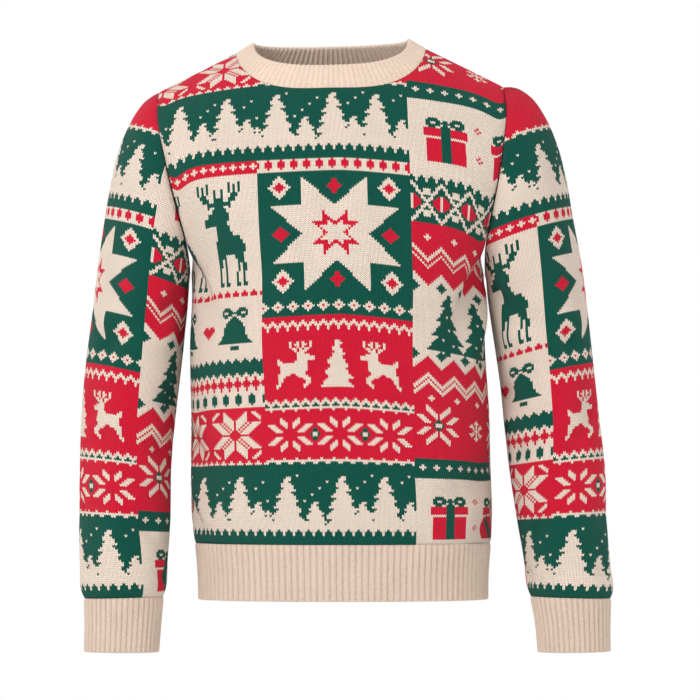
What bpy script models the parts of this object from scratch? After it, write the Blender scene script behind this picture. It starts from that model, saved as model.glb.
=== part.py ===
"""A knitted crew-neck sweater that nobody wears: hollow and filled out as on a general figure.

Metres, +Z up. The front faces -Y, and the wearer's left is at +X. The origin is in the middle of the
neck, level with the high point of the shoulders, where a wearer's neck and shoulders hold it up.
Each cut piece is a single wall of knit, and neighbours stop a seam gap short of each other.
"""

import math
from typing import NamedTuple

import bmesh
import bpy
import numpy as np

# Cloth
WALL = 0.003  # single jersey with its floats behind
RIB_WALL = 0.0035  # ribbed hem and cuffs
COLLAR_WALL = 0.006  # a folded, doubled band
SEAM_GAP = 0.0003
WELD = 0.00002  # points closer than this are one
ARMHOLE_GAP = 0.0009  # between outer faces, so that the inner edges of a bent seam stay clear

# Heights along the body
HEM = -0.6686
HEM_SEAM = -0.6000
UNDERARM = -0.2720
YOKE = -0.1300  # above this the panels close over the shoulders
TIP = -0.0470  # end of the shoulder seam

# Widths and shape of the body
NECK_HALF = 0.1160  # high point of the shoulder, at height zero
TIP_HALF = 0.2104
NECK_RISE = 0.0260  # how far the closed neck would stand over its sides
SECTION_POWER = 2.3  # corner fullness of the body's cross-section
ARMHOLE_SHARE = 0.60  # the armhole's depth over the body's depth
SHOULDER_POWER = 1.3  # how narrow the shoulder's crest is
SHOULDER_ROLL = 0.024  # the wearer's left shoulder is a little higher

# Neckline: height at the middle, and how square its curve is
FRONT_NECK = -0.0476
BACK_NECK = -0.0180
FRONT_NECK_POWER = 3.0
BACK_NECK_POWER = 2.4

# Collar: the top fold
COLLAR_HALF = 0.0940
COLLAR_FRONT_Y = -0.0800
COLLAR_BACK_Y = 0.0620
COLLAR_FRONT_Z = -0.0190
COLLAR_BACK_Z = 0.0085
COLLAR_SIDE_Z = 0.0134
COLLAR_POWER = 2.6

# Facets
PANEL_COLUMNS = 22
NECK_COLUMNS = 14  # half as many as the collar has sides, so that both share the neckline's corners
BODY_ROWS = 14
YOKE_ROWS = 7
ARMHOLE_ROWS = 5
SLEEVE_SIDES = 20
COLLAR_SIDES = 2 * NECK_COLUMNS


class BodyRow(NamedTuple):
    """One level of the body: half its width at the side seam or armhole, and its depth each way."""

    height: float
    half_width: float
    front: float
    back: float
    shift: float


BODY = [
    BodyRow(-0.6686, 0.1770, 0.118, 0.114, 0.0040),
    BodyRow(-0.6400, 0.1775, 0.119, 0.115, 0.0038),
    BodyRow(-0.6000, 0.1805, 0.121, 0.117, 0.0035),
    BodyRow(-0.5700, 0.1832, 0.124, 0.118, 0.0025),
    BodyRow(-0.5110, 0.1830, 0.124, 0.115, 0.0010),
    BodyRow(-0.4380, 0.1818, 0.124, 0.109, 0.0000),
    BodyRow(-0.3650, 0.1800, 0.128, 0.108, -0.0030),
    BodyRow(-0.2720, 0.1785, 0.133, 0.116, -0.0030),
    BodyRow(-0.2400, 0.1815, 0.133, 0.119, -0.0045),
    BodyRow(-0.2000, 0.1900, 0.130, 0.122, -0.0060),
    BodyRow(-0.1600, 0.1990, 0.123, 0.122, -0.0072),
    BodyRow(-0.1200, 0.2065, 0.114, 0.119, -0.0085),
    BodyRow(-0.0800, 0.2120, 0.105, 0.115, -0.0100),
    BodyRow(-0.0470, 0.2104, 0.100, 0.110, -0.0110),
]


class SleeveRow(NamedTuple):
    """One ring of a sleeve, seen from the front: its outer and inner points, depth and place along Y."""

    outer_x: float
    outer_z: float
    inner_x: float
    inner_z: float
    half_depth: float
    y: float


# The wearer's right sleeve, its X counted outwards. The last two rows are the cuff's ends.
RIGHT_SLEEVE = [
    SleeveRow(0.2368, -0.0612, 0.1826, -0.2740, 0.0760, 0.000),
    SleeveRow(0.2477, -0.0744, 0.1834, -0.2800, 0.0775, 0.000),
    SleeveRow(0.2599, -0.0964, 0.1840, -0.2870, 0.0780, 0.000),
    SleeveRow(0.2715, -0.1269, 0.1845, -0.2950, 0.0775, 0.001),
    SleeveRow(0.2800, -0.1647, 0.1852, -0.3050, 0.0755, 0.002),
    SleeveRow(0.2880, -0.2110, 0.1862, -0.3185, 0.0725, 0.003),
    SleeveRow(0.2952, -0.2623, 0.1885, -0.3400, 0.0690, 0.004),
    SleeveRow(0.3020, -0.3184, 0.1915, -0.3710, 0.0655, 0.004),
    SleeveRow(0.3099, -0.3794, 0.1958, -0.4075, 0.0635, 0.003),
    SleeveRow(0.3154, -0.4441, 0.2013, -0.4563, 0.0615, 0.000),
    SleeveRow(0.3172, -0.5112, 0.2056, -0.5112, 0.0585, -0.006),
    SleeveRow(0.3178, -0.5722, 0.2062, -0.5700, 0.0550, -0.014),
    SleeveRow(0.3166, -0.6283, 0.2095, -0.6246, 0.0520, -0.023),
    SleeveRow(0.3152, -0.6550, 0.2108, -0.6520, 0.0495, -0.027),
    SleeveRow(0.3117, -0.6668, 0.2141, -0.6644, 0.0440, -0.029),
    SleeveRow(0.3108, -0.6990, 0.2170, -0.6982, 0.0400, -0.033),
    SleeveRow(0.3111, -0.7314, 0.2196, -0.7320, 0.0395, -0.037),
]
# The wearer's left sleeve stands a little further out from the elbow down.
LEFT_SLEEVE = [
    SleeveRow(0.2159, -0.0458, 0.1782, -0.2800, 0.0760, 0.000),
    SleeveRow(0.2330, -0.0567, 0.1786, -0.2850, 0.0780, 0.000),
    SleeveRow(0.2501, -0.0805, 0.1790, -0.2910, 0.0785, 0.000),
    SleeveRow(0.2654, -0.1159, 0.1796, -0.2980, 0.0780, 0.001),
    SleeveRow(0.2757, -0.1549, 0.1806, -0.3070, 0.0760, 0.002),
    SleeveRow(0.2843, -0.2037, 0.1822, -0.3190, 0.0730, 0.003),
    SleeveRow(0.2952, -0.2623, 0.1850, -0.3380, 0.0690, 0.004),
    SleeveRow(0.3026, -0.3209, 0.1900, -0.3710, 0.0655, 0.004),
    SleeveRow(0.3093, -0.3831, 0.1952, -0.4075, 0.0635, 0.003),
    SleeveRow(0.3160, -0.4441, 0.2000, -0.4563, 0.0615, 0.000),
    SleeveRow(0.3233, -0.5112, 0.2062, -0.5112, 0.0585, -0.006),
    SleeveRow(0.3250, -0.5722, 0.2150, -0.5700, 0.0550, -0.014),
    SleeveRow(0.3294, -0.6283, 0.2240, -0.6246, 0.0520, -0.023),
    SleeveRow(0.3322, -0.6550, 0.2272, -0.6520, 0.0495, -0.027),
    SleeveRow(0.3300, -0.6668, 0.2310, -0.6644, 0.0440, -0.029),
    SleeveRow(0.3290, -0.6990, 0.2370, -0.6982, 0.0400, -0.033),
    SleeveRow(0.3290, -0.7310, 0.2400, -0.7320, 0.0395, -0.037),
]
CUFF_ROWS = 2  # rows at the end of a sleeve's table that lie below the cuff seam

CREAM = (0.79, 0.68, 0.57)
RIB_BEIGE = (0.70, 0.58, 0.47)
RED = (0.62, 0.02, 0.045)
GREEN = (0.003, 0.09, 0.06)

Point = np.ndarray
NECK_SHARE = NECK_HALF / TIP_HALF


def smooth(levels: list, values: list, at: float) -> float:
    """A curve through the values at their levels, with no corner at any of them."""
    x = np.asarray(levels, dtype=float)
    y = np.asarray(values, dtype=float)
    at = float(np.clip(at, x[0], x[-1]))
    i = int(np.clip(np.searchsorted(x, at) - 1, 0, len(x) - 2))
    slopes = np.gradient(y, x)
    span = x[i + 1] - x[i]
    t = (at - x[i]) / span
    return float(
        y[i] * (1 + 2 * t) * (1 - t) ** 2
        + y[i + 1] * t * t * (3 - 2 * t)
        + slopes[i] * span * t * (1 - t) ** 2
        + slopes[i + 1] * span * t * t * (t - 1)
    )


def body_at(height: float, column: str) -> float:
    """One column of the body's table at any height."""
    return smooth([row.height for row in BODY], [getattr(row, column) for row in BODY], height)


def armhole_share(height: float) -> float:
    """The panel edge's depth over the body's depth: nothing at a side seam, then the armhole's curve."""
    rise = float(np.clip((height - UNDERARM) / (YOKE - UNDERARM), 0.0, 1.0))
    return ARMHOLE_SHARE * math.sqrt(1.0 - (1.0 - rise) ** 2)


def section_depth(share: float, edge: float) -> float:
    """Depth of the body's cross-section, 1 at the middle, at a share of the panel's half width."""
    return (1.0 - abs(share) ** SECTION_POWER * (1.0 - edge**SECTION_POWER)) ** (1.0 / SECTION_POWER)


def crest_height(x: float) -> float:
    """Height of the shoulder line at a distance from the middle."""
    x = abs(x)
    if x < NECK_HALF:
        return NECK_RISE * (1.0 - (x / NECK_HALF) ** 2)
    return TIP * (x - NECK_HALF) / (TIP_HALF - NECK_HALF)


def leaned(x: float, y: float, z: float) -> Point:
    """A point of the body after the slight lean with which it hangs."""
    rolled = float(np.clip((z - UNDERARM) / -UNDERARM, 0.0, 1.0)) ** 2
    return np.array([x + body_at(z, "shift"), y, z + SHOULDER_ROLL * x * rolled])


def body_point(share: float, height: float, side: int) -> Point:
    """A point of the body up to the yoke. side is -1 for the front and 1 for the back."""
    depth = body_at(height, "front" if side < 0 else "back")
    y = side * depth * section_depth(share, armhole_share(height))
    return leaned(share * body_at(height, "half_width"), y, height)


def yoke_point(share: float, turn: float, side: int) -> Point:
    """A point above the yoke, where turn goes from 0 at the yoke to a right angle at the shoulder line."""
    edge_height = YOKE + (TIP - YOKE) * math.sin(turn)
    x = share * body_at(edge_height, "half_width")
    depth = body_at(YOKE, "front" if side < 0 else "back")
    y = side * depth * section_depth(share, ARMHOLE_SHARE) * math.cos(turn) ** SHOULDER_POWER
    z = YOKE + (crest_height(x) - YOKE) * math.sin(turn)
    return leaned(x, y, z)


def neck_turn(share: float, side: int) -> float:
    """How far a column turns over the shoulder before the neckline cuts it."""
    full = math.pi / 2
    if abs(share) >= NECK_SHARE:
        return full
    middle = FRONT_NECK if side < 0 else BACK_NECK
    power = FRONT_NECK_POWER if side < 0 else BACK_NECK_POWER
    lowest = math.asin((middle - YOKE) / (NECK_RISE - YOKE))
    return full - (full - lowest) * (1.0 - (abs(share) / NECK_SHARE) ** power) ** (1.0 / power)


def panel_shares() -> list:
    """The columns of a panel from one edge to the other, two of them at the ends of the neckline."""
    inner = NECK_SHARE * np.sin(np.linspace(0.0, math.pi / 2, NECK_COLUMNS // 2 + 1))
    bend = np.sin(np.linspace(0.0, math.pi / 2, (PANEL_COLUMNS - NECK_COLUMNS) // 2 + 1))
    outer = NECK_SHARE + (1.0 - NECK_SHARE) * bend
    half = list(inner[:-1]) + list(outer)
    return [-s for s in reversed(half[1:])] + half


def panel_rows(side: int) -> list:
    """The grid of a front or back panel, from the hem seam up to the shoulder and neck."""
    lower = list(np.linspace(HEM_SEAM + SEAM_GAP / 2, UNDERARM, BODY_ROWS + 1))
    rise = np.linspace(0.0, 1.0, ARMHOLE_ROWS + 1)[1:] ** 1.6
    middle = [UNDERARM + (YOKE - UNDERARM) * r for r in rise]
    shares = panel_shares()
    rows = [[body_point(s, z, side) for s in shares] for z in lower + middle]
    for step in range(1, YOKE_ROWS + 1):
        done = step / YOKE_ROWS
        rows.append([yoke_point(s, done * neck_turn(s, side), side) for s in shares])
    return rows


def hem_rows(side: int) -> list:
    """The grid of a hem rib, from its lower edge up to the seam."""
    heights = [HEM, (HEM + HEM_SEAM) / 2, HEM_SEAM - SEAM_GAP / 2]
    return [[body_point(s, z, side) for s in panel_shares()] for z in heights]


def armhole_edge(hand: int, side: int) -> list:
    """The panel's edge from the underarm to the shoulder tip. hand is -1 at the wearer's right."""
    low = [body_point(hand, z, side) for z in np.linspace(UNDERARM, YOKE, 24)]
    high = [yoke_point(hand, turn, side) for turn in np.linspace(0.0, math.pi / 2, 24)[1:]]
    return low + high


def armhole_point(angle: float, hand: int) -> Point:
    """A point of the armhole, from the shoulder tip at 0 by the front to the underarm and back."""
    side = -1 if math.sin(angle) > 0 else 1
    edge = np.array(armhole_edge(hand, side))
    level = (math.cos(angle) + 1.0) / 2
    heights = (edge[:, 2] - edge[0, 2]) / (edge[-1, 2] - edge[0, 2])
    point = np.array([np.interp(level, heights, edge[:, axis]) for axis in range(3)])
    point[0] += hand * ARMHOLE_GAP
    return point


def ring_point(row: SleeveRow, angle: float, hand: int) -> Point:
    """A point of a sleeve's ring, from its outer point at 0 by the front to its inner point."""
    across = math.cos(angle)
    x = (row.outer_x + row.inner_x) / 2 + across * (row.outer_x - row.inner_x) / 2
    z = (row.outer_z + row.inner_z) / 2 + across * (row.outer_z - row.inner_z) / 2
    return np.array([hand * x, row.y - row.half_depth * math.sin(angle), z])


def ring_angles() -> list:
    """The angles of the columns round a sleeve."""
    return list(np.linspace(0.0, 2 * math.pi, SLEEVE_SIDES, endpoint=False))


def sleeve_rows(hand: int) -> list:
    """The rings of a sleeve from the armhole down to the cuff seam."""
    table = RIGHT_SLEEVE if hand < 0 else LEFT_SLEEVE
    rows = [[armhole_point(a, hand) for a in ring_angles()]]
    rows += [[ring_point(row, a, hand) for a in ring_angles()] for row in table[:-CUFF_ROWS]]
    return rows


def cuff_rows(hand: int) -> list:
    """The rings of a cuff from just under its seam down to its edge."""
    table = (RIGHT_SLEEVE if hand < 0 else LEFT_SLEEVE)[-CUFF_ROWS - 1 :]
    rows = [[ring_point(row, a, hand) for a in ring_angles()] for row in table]
    for point in rows[0]:
        point[2] -= SEAM_GAP
    return rows


def neck_point(angle: float) -> Point:
    """A point of the neck seam, from the wearer's left at 0 by the back."""
    side = 1 if math.sin(angle) >= 0 else -1
    share = NECK_SHARE * math.cos(angle)
    return yoke_point(share, neck_turn(share, side), side)


def fold_point(angle: float) -> Point:
    """A point of the collar's top fold, from the wearer's left at 0 by the back."""
    across = math.cos(angle)
    reach = (1.0 - abs(across) ** COLLAR_POWER) ** (1.0 / COLLAR_POWER)
    back = math.sin(angle) >= 0
    y = reach * (COLLAR_BACK_Y if back else COLLAR_FRONT_Y)
    z = COLLAR_SIDE_Z + reach * ((COLLAR_BACK_Z if back else COLLAR_FRONT_Z) - COLLAR_SIDE_Z)
    return leaned(COLLAR_HALF * across, y, z)


def collar_sections() -> list:
    """Closed sections round the neck: up the outer face, over the fold and down the inner face."""
    sections = []
    for angle in np.linspace(0.0, 2 * math.pi, COLLAR_SIDES, endpoint=False):
        foot = neck_point(angle)
        fold = fold_point(angle)
        up = (fold - foot) / np.linalg.norm(fold - foot)
        along = neck_point(angle + 0.02) - neck_point(angle - 0.02)
        inward = np.cross(up, along)
        inward /= np.linalg.norm(inward)
        reach = float(np.linalg.norm(fold - foot))
        start = 2 * SEAM_GAP
        profile = [
            (start, 0.0),
            (0.55 * reach, -0.08 * COLLAR_WALL),
            (0.86 * reach, 0.08 * COLLAR_WALL),
            (reach, 0.5 * COLLAR_WALL),
            (0.86 * reach, 0.92 * COLLAR_WALL),
            (0.5 * reach, COLLAR_WALL),
            (start, 0.95 * COLLAR_WALL),
        ]
        sections.append([foot + up * rise + inward * depth for rise, depth in profile])
    return sections


def knit_material(name: str, colour: tuple) -> bpy.types.Material:
    """Matt wool of one colour."""
    material = bpy.data.materials.new(name)
    material.use_nodes = True
    shader = material.node_tree.nodes["Principled BSDF"]
    shader.inputs["Base Color"].default_value = (*colour, 1.0)
    shader.inputs["Roughness"].default_value = 0.9
    shader.inputs["Metallic"].default_value = 0.0
    return material


def add_grid(mesh: bmesh.types.BMesh, rows: list, closed: bool, flipped: bool) -> None:
    """Adds faces between rows of points. Where they are closed, each row is a ring."""
    grid = [[mesh.verts.new(point) for point in row] for row in rows]
    count = len(rows[0])
    for lower, upper in zip(grid, grid[1:]):
        for i in range(count if closed else count - 1):
            j = (i + 1) % count
            corners = [lower[i], lower[j], upper[j], upper[i]]
            mesh.faces.new(reversed(corners) if flipped else corners)


def finished(mesh: bmesh.types.BMesh, name: str) -> bpy.types.Mesh:
    """The mesh with touching points made one."""
    bmesh.ops.remove_doubles(mesh, verts=mesh.verts, dist=WELD)
    data = bpy.data.meshes.new(name)
    mesh.to_mesh(data)
    mesh.free()
    data.shade_smooth()
    return data


def piece(name: str, data: bpy.types.Mesh, colour: tuple) -> bpy.types.Object:
    """An object of the sweater, with a material of its own."""
    made = bpy.data.objects.new(name, data)
    COLLECTION.objects.link(made)
    data.materials.append(None)
    made.material_slots[0].link = "OBJECT"
    made.material_slots[0].material = knit_material(name, colour)
    return made


def thicken(made: bpy.types.Object, wall: float) -> None:
    """Makes the object's surface the outer face of a wall."""
    thick = made.modifiers.new("wall", "SOLIDIFY")
    thick.thickness = wall
    thick.offset = -1.0
    thick.use_even_offset = True
    thick.use_rim = True


def half_space(side: int) -> bpy.types.Object:
    """A cutter that holds all that lies before or behind the plane of the side seams."""
    bpy.ops.mesh.primitive_cube_add(size=2.0, location=(0.0, side * (1.0 + SEAM_GAP / 2), 0.0))
    cutter = bpy.context.object
    cutter.name = "front_half" if side < 0 else "back_half"
    cutter.hide_render = True
    cutter.display_type = "WIRE"
    for collection in cutter.users_collection:
        collection.objects.unlink(cutter)
    CUTTERS.objects.link(cutter)
    return cutter


def front_and_back(names: tuple, grids: tuple, colour: tuple, wall: float) -> None:
    """Two pieces that meet at the side seams: one thickened tube, of which each keeps a half."""
    for side, name in zip((-1, 1), names):
        mesh = bmesh.new()
        add_grid(mesh, grids[0], closed=False, flipped=False)
        add_grid(mesh, grids[1], closed=False, flipped=True)
        made = piece(name, finished(mesh, name), colour)
        thicken(made, wall)
        cut = made.modifiers.new("half", "BOOLEAN")
        cut.operation = "INTERSECT"
        cut.solver = "EXACT"
        cut.object = HALVES[side]


def tube(name: str, rows: list, colour: tuple, wall: float, flipped: bool) -> None:
    """A sleeve or a cuff: rings of points, thickened inwards."""
    mesh = bmesh.new()
    add_grid(mesh, rows, closed=True, flipped=flipped)
    thicken(piece(name, finished(mesh, name), colour), wall)


def band(name: str, sections: list, colour: tuple) -> None:
    """A collar: closed sections that follow one another round the neck."""
    mesh = bmesh.new()
    add_grid(mesh, sections + sections[:1], closed=True, flipped=True)
    piece(name, finished(mesh, name), colour)


def build() -> None:
    """Every cut piece of the sweater."""
    panels = (panel_rows(-1), panel_rows(1))
    front_and_back(("front_panel", "back_panel"), panels, CREAM, WALL)
    hems = (hem_rows(-1), hem_rows(1))
    front_and_back(("hem_rib_front", "hem_rib_back"), hems, RIB_BEIGE, RIB_WALL)
    for hand, label, colour in ((-1, "right", RED), (1, "left", GREEN)):
        turned = hand < 0
        tube(f"sleeve_{label}", sleeve_rows(hand), colour, WALL, turned)
        tube(f"cuff_{label}", cuff_rows(hand), RIB_BEIGE, RIB_WALL, turned)
    band("collar", collar_sections(), RIB_BEIGE)


for leftover in list(bpy.data.objects):
    bpy.data.objects.remove(leftover)
COLLECTION = bpy.data.collections.new("knitted_sweater")
bpy.context.scene.collection.children.link(COLLECTION)
CUTTERS = bpy.data.collections.new("cutters")
bpy.context.scene.collection.children.link(CUTTERS)
HALVES = {side: half_space(side) for side in (-1, 1)}
build()
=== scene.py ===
"""Looks of a hollow, filled-out crew-neck sweater knitted in a patchwork of winter patterns.

Metres, +Z up, the front faces -Y and the wearer's left is at +X. Each cut piece is a shell of single
stitches laid on the form of its solid: wales and courses are worked out on the form, a chart gives
every stitch its yarn, and ribbed bands are swept round the form's edges.
"""

import logging
import math
from dataclasses import dataclass, field
from enum import Enum, IntEnum
from typing import NamedTuple, Optional, Union

import bmesh
import bpy
import numpy as np
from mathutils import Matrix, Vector


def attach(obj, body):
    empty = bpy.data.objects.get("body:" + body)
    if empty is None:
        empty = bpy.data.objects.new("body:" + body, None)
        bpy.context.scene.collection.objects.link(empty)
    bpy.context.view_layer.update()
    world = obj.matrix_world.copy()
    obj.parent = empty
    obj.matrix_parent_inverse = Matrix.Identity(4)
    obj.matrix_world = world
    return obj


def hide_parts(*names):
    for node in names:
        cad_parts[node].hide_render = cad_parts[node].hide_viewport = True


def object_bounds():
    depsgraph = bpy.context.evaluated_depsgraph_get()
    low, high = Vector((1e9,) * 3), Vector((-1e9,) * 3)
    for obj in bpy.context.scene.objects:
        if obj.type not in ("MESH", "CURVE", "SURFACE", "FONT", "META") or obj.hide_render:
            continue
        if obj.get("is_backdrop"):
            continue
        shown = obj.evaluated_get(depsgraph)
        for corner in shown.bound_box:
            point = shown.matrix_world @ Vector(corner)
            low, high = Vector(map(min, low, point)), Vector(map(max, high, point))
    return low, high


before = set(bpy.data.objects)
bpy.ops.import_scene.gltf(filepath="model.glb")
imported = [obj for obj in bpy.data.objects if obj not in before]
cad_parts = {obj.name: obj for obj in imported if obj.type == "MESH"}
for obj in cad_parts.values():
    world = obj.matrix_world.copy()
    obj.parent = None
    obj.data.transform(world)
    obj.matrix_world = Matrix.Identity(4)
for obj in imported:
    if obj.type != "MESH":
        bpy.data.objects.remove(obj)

LOG = logging.getLogger("sweater")
Array = np.ndarray
Socket = Union[float, bpy.types.NodeSocket]

# The knit
WALE = 0.0031  # width of a stitch
COURSE = 0.00257  # height of a stitch
PANEL_WALES = 82  # from the middle of a panel to its side seam
PATTERN_ROWS = 182  # the pattern's repeat
INNER_SIDE = 0.0024  # how far the wrong side lies behind the face
EDGE_WALL = 0.0005  # how far behind it lies at the sewn edges
STITCH_LIFT = 0.8  # how far the legs of a stitch rise from its middle, in courses
FOLD_DEPTH = 3.4  # how much deeper the folds press than their tables say
SEAM_DIP = 0.0011  # how far the cloth dips at a seam
SEAM_WIDTH = 0.0035

# The form, as the cut pieces have it
HEM = -0.6686
HEM_SEAM = -0.6000
UNDERARM = -0.2720
YOKE = -0.1300
TIP = -0.0470
NECK_HALF = 0.1160
TIP_HALF = 0.2104
NECK_RISE = 0.0260
SECTION_POWER = 2.3
ARMHOLE_SHARE = 0.60
SHOULDER_POWER = 1.3
SHOULDER_ROLL = 0.024
NECK_SHARE = NECK_HALF / TIP_HALF
CUFF_SEAM = -0.6660
FOLD_HALF = 0.0940  # half the width of the collar at its fold
FOLD_SIDE = 0.0134  # height of the fold at its sides
FOLD_POWER = 2.6

# The grids that the form is worked out on
PANEL_PLACES = 241
SLEEVE_PLACES = 181
ARMHOLE_LEVELS = 24

# The ribs
RIB_SAMPLES = 10  # points across a rib
GROOVE_POWER = 7  # how narrow the grooves are
RIB_SEAM_DIP = 0.0012  # how far a rib dips where it is sewn on
RIB_SEAM_REACH = 0.0022
EDGE_NOTCH = 0.0004  # how far the grooves cut into the free edge
LINK = 0.0035  # length of a linking stitch

# How the courses run
DROOP_POWER = 1.4  # how the panels' courses curve down towards the sides
DROOP_RISE = 0.24  # the height over which the droop grows
SLEEVE_SLOPES = ([CUFF_SEAM, -0.450, -0.300], [-3.0, 10.0, 17.0])  # heights, degrees
SLEEVE_BENDS = ([CUFF_SEAM, -0.250], [0.0, 1.3])  # heights, curvatures
SLEEVE_STRETCH = 1.01


class Side(IntEnum):
    """Which half of the body a panel covers; the value is the sign of its Y."""

    FRONT = -1
    BACK = 1


NECKLINES = {Side.FRONT: (-0.0476, 3.0), Side.BACK: (-0.0180, 2.4)}  # middle's height, power
FOLD_MIDDLES = {Side.FRONT: (-0.0800, -0.0190), Side.BACK: (0.0620, 0.0085)}  # Y, height


class Hand(IntEnum):
    """The wearer's right or left; the value is the sign of its X."""

    RIGHT = -1
    LEFT = 1

    @property
    def label(self) -> str:
        """The word used in the names of nodes."""
        return self.name.lower()


class Yarn(IntEnum):
    """The yarns, numbered as the stitches' attribute has them."""

    CREAM = 0
    RED = 1
    GREEN = 2
    # The ribbed bands' cream yarn, given a darker colour as painted shade
    RIB = 3


class BodyRow(NamedTuple):
    """One level of the body: half its width at the side seam or armhole, and its depth each way."""

    height: float
    half_width: float
    front: float
    back: float
    shift: float


BODY = [
    BodyRow(-0.6686, 0.1770, 0.118, 0.114, 0.0040),
    BodyRow(-0.6400, 0.1775, 0.119, 0.115, 0.0038),
    BodyRow(-0.6000, 0.1805, 0.121, 0.117, 0.0035),
    BodyRow(-0.5700, 0.1832, 0.124, 0.118, 0.0025),
    BodyRow(-0.5110, 0.1830, 0.124, 0.115, 0.0010),
    BodyRow(-0.4380, 0.1818, 0.124, 0.109, 0.0000),
    BodyRow(-0.3650, 0.1800, 0.128, 0.108, -0.0030),
    BodyRow(-0.2720, 0.1785, 0.133, 0.116, -0.0030),
    BodyRow(-0.2400, 0.1815, 0.133, 0.119, -0.0045),
    BodyRow(-0.2000, 0.1900, 0.130, 0.122, -0.0060),
    BodyRow(-0.1600, 0.1990, 0.123, 0.122, -0.0072),
    BodyRow(-0.1200, 0.2065, 0.114, 0.119, -0.0085),
    BodyRow(-0.0800, 0.2120, 0.105, 0.115, -0.0100),
    BodyRow(-0.0470, 0.2104, 0.100, 0.110, -0.0110),
]


class SleeveRow(NamedTuple):
    """One ring of a sleeve: its outer and inner points from the front, its depth and its Y."""

    outer_x: float
    outer_z: float
    inner_x: float
    inner_z: float
    half_depth: float
    y: float


CUFF_ROWS = 2
SLEEVES = {
    Hand.RIGHT: [
        SleeveRow(0.2368, -0.0612, 0.1826, -0.2740, 0.0760, 0.000),
        SleeveRow(0.2477, -0.0744, 0.1834, -0.2800, 0.0775, 0.000),
        SleeveRow(0.2599, -0.0964, 0.1840, -0.2870, 0.0780, 0.000),
        SleeveRow(0.2715, -0.1269, 0.1845, -0.2950, 0.0775, 0.001),
        SleeveRow(0.2800, -0.1647, 0.1852, -0.3050, 0.0755, 0.002),
        SleeveRow(0.2880, -0.2110, 0.1862, -0.3185, 0.0725, 0.003),
        SleeveRow(0.2952, -0.2623, 0.1885, -0.3400, 0.0690, 0.004),
        SleeveRow(0.3020, -0.3184, 0.1915, -0.3710, 0.0655, 0.004),
        SleeveRow(0.3099, -0.3794, 0.1958, -0.4075, 0.0635, 0.003),
        SleeveRow(0.3154, -0.4441, 0.2013, -0.4563, 0.0615, 0.000),
        SleeveRow(0.3172, -0.5112, 0.2056, -0.5112, 0.0585, -0.006),
        SleeveRow(0.3178, -0.5722, 0.2062, -0.5700, 0.0550, -0.014),
        SleeveRow(0.3166, -0.6283, 0.2095, -0.6246, 0.0520, -0.023),
        SleeveRow(0.3152, -0.6550, 0.2108, -0.6520, 0.0495, -0.027),
        SleeveRow(0.3117, -0.6668, 0.2141, -0.6644, 0.0440, -0.029),
        SleeveRow(0.3108, -0.6990, 0.2170, -0.6982, 0.0400, -0.033),
        SleeveRow(0.3111, -0.7314, 0.2196, -0.7320, 0.0395, -0.037),
    ],
    Hand.LEFT: [
        SleeveRow(0.2159, -0.0458, 0.1782, -0.2800, 0.0760, 0.000),
        SleeveRow(0.2330, -0.0567, 0.1786, -0.2850, 0.0780, 0.000),
        SleeveRow(0.2501, -0.0805, 0.1790, -0.2910, 0.0785, 0.000),
        SleeveRow(0.2654, -0.1159, 0.1796, -0.2980, 0.0780, 0.001),
        SleeveRow(0.2757, -0.1549, 0.1806, -0.3070, 0.0760, 0.002),
        SleeveRow(0.2843, -0.2037, 0.1822, -0.3190, 0.0730, 0.003),
        SleeveRow(0.2952, -0.2623, 0.1850, -0.3380, 0.0690, 0.004),
        SleeveRow(0.3026, -0.3209, 0.1900, -0.3710, 0.0655, 0.004),
        SleeveRow(0.3093, -0.3831, 0.1952, -0.4075, 0.0635, 0.003),
        SleeveRow(0.3160, -0.4441, 0.2000, -0.4563, 0.0615, 0.000),
        SleeveRow(0.3233, -0.5112, 0.2062, -0.5112, 0.0585, -0.006),
        SleeveRow(0.3250, -0.5722, 0.2150, -0.5700, 0.0550, -0.014),
        SleeveRow(0.3294, -0.6283, 0.2240, -0.6246, 0.0520, -0.023),
        SleeveRow(0.3322, -0.6550, 0.2272, -0.6520, 0.0495, -0.027),
        SleeveRow(0.3300, -0.6668, 0.2310, -0.6644, 0.0440, -0.029),
        SleeveRow(0.3290, -0.6990, 0.2370, -0.6982, 0.0400, -0.033),
        SleeveRow(0.3290, -0.7310, 0.2400, -0.7320, 0.0395, -0.037),
    ],
}


class Girth(NamedTuple):
    """A sleeve's section where a course crosses its middle line.

    The middle of its wales lies nearer the body than the middle line above the underarm.
    """

    height: float
    line: float
    middle: float
    half_wide: float
    half_deep: float
    y: float


GIRTHS = [
    Girth(CUFF_SEAM, 0.2630, 0.2630, 0.0530, 0.0480, -0.027),
    Girth(-0.570, 0.2620, 0.2620, 0.0555, 0.0550, -0.014),
    Girth(-0.511, 0.2614, 0.2614, 0.0560, 0.0585, -0.006),
    Girth(-0.450, 0.2580, 0.2580, 0.0575, 0.0615, 0.000),
    Girth(-0.390, 0.2525, 0.2525, 0.0570, 0.0635, 0.003),
    Girth(-0.330, 0.2460, 0.2460, 0.0565, 0.0655, 0.004),
    Girth(-0.270, 0.2400, 0.2400, 0.0540, 0.0690, 0.004),
    Girth(-0.210, 0.2330, 0.2300, 0.0550, 0.0725, 0.003),
    Girth(-0.150, 0.2260, 0.2150, 0.0585, 0.0755, 0.002),
    Girth(-0.100, 0.2200, 0.1950, 0.0610, 0.0775, 0.000),
    Girth(-0.050, 0.2140, 0.1750, 0.0550, 0.0780, 0.000),
]


def girth_at(height: Array, column: str) -> Array:
    """One column of the sleeve's girths at any heights."""
    return np.interp(height, [g.height for g in GIRTHS], [getattr(g, column) for g in GIRTHS])


# ---------------------------------------------------------------------------------------- the form


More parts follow.
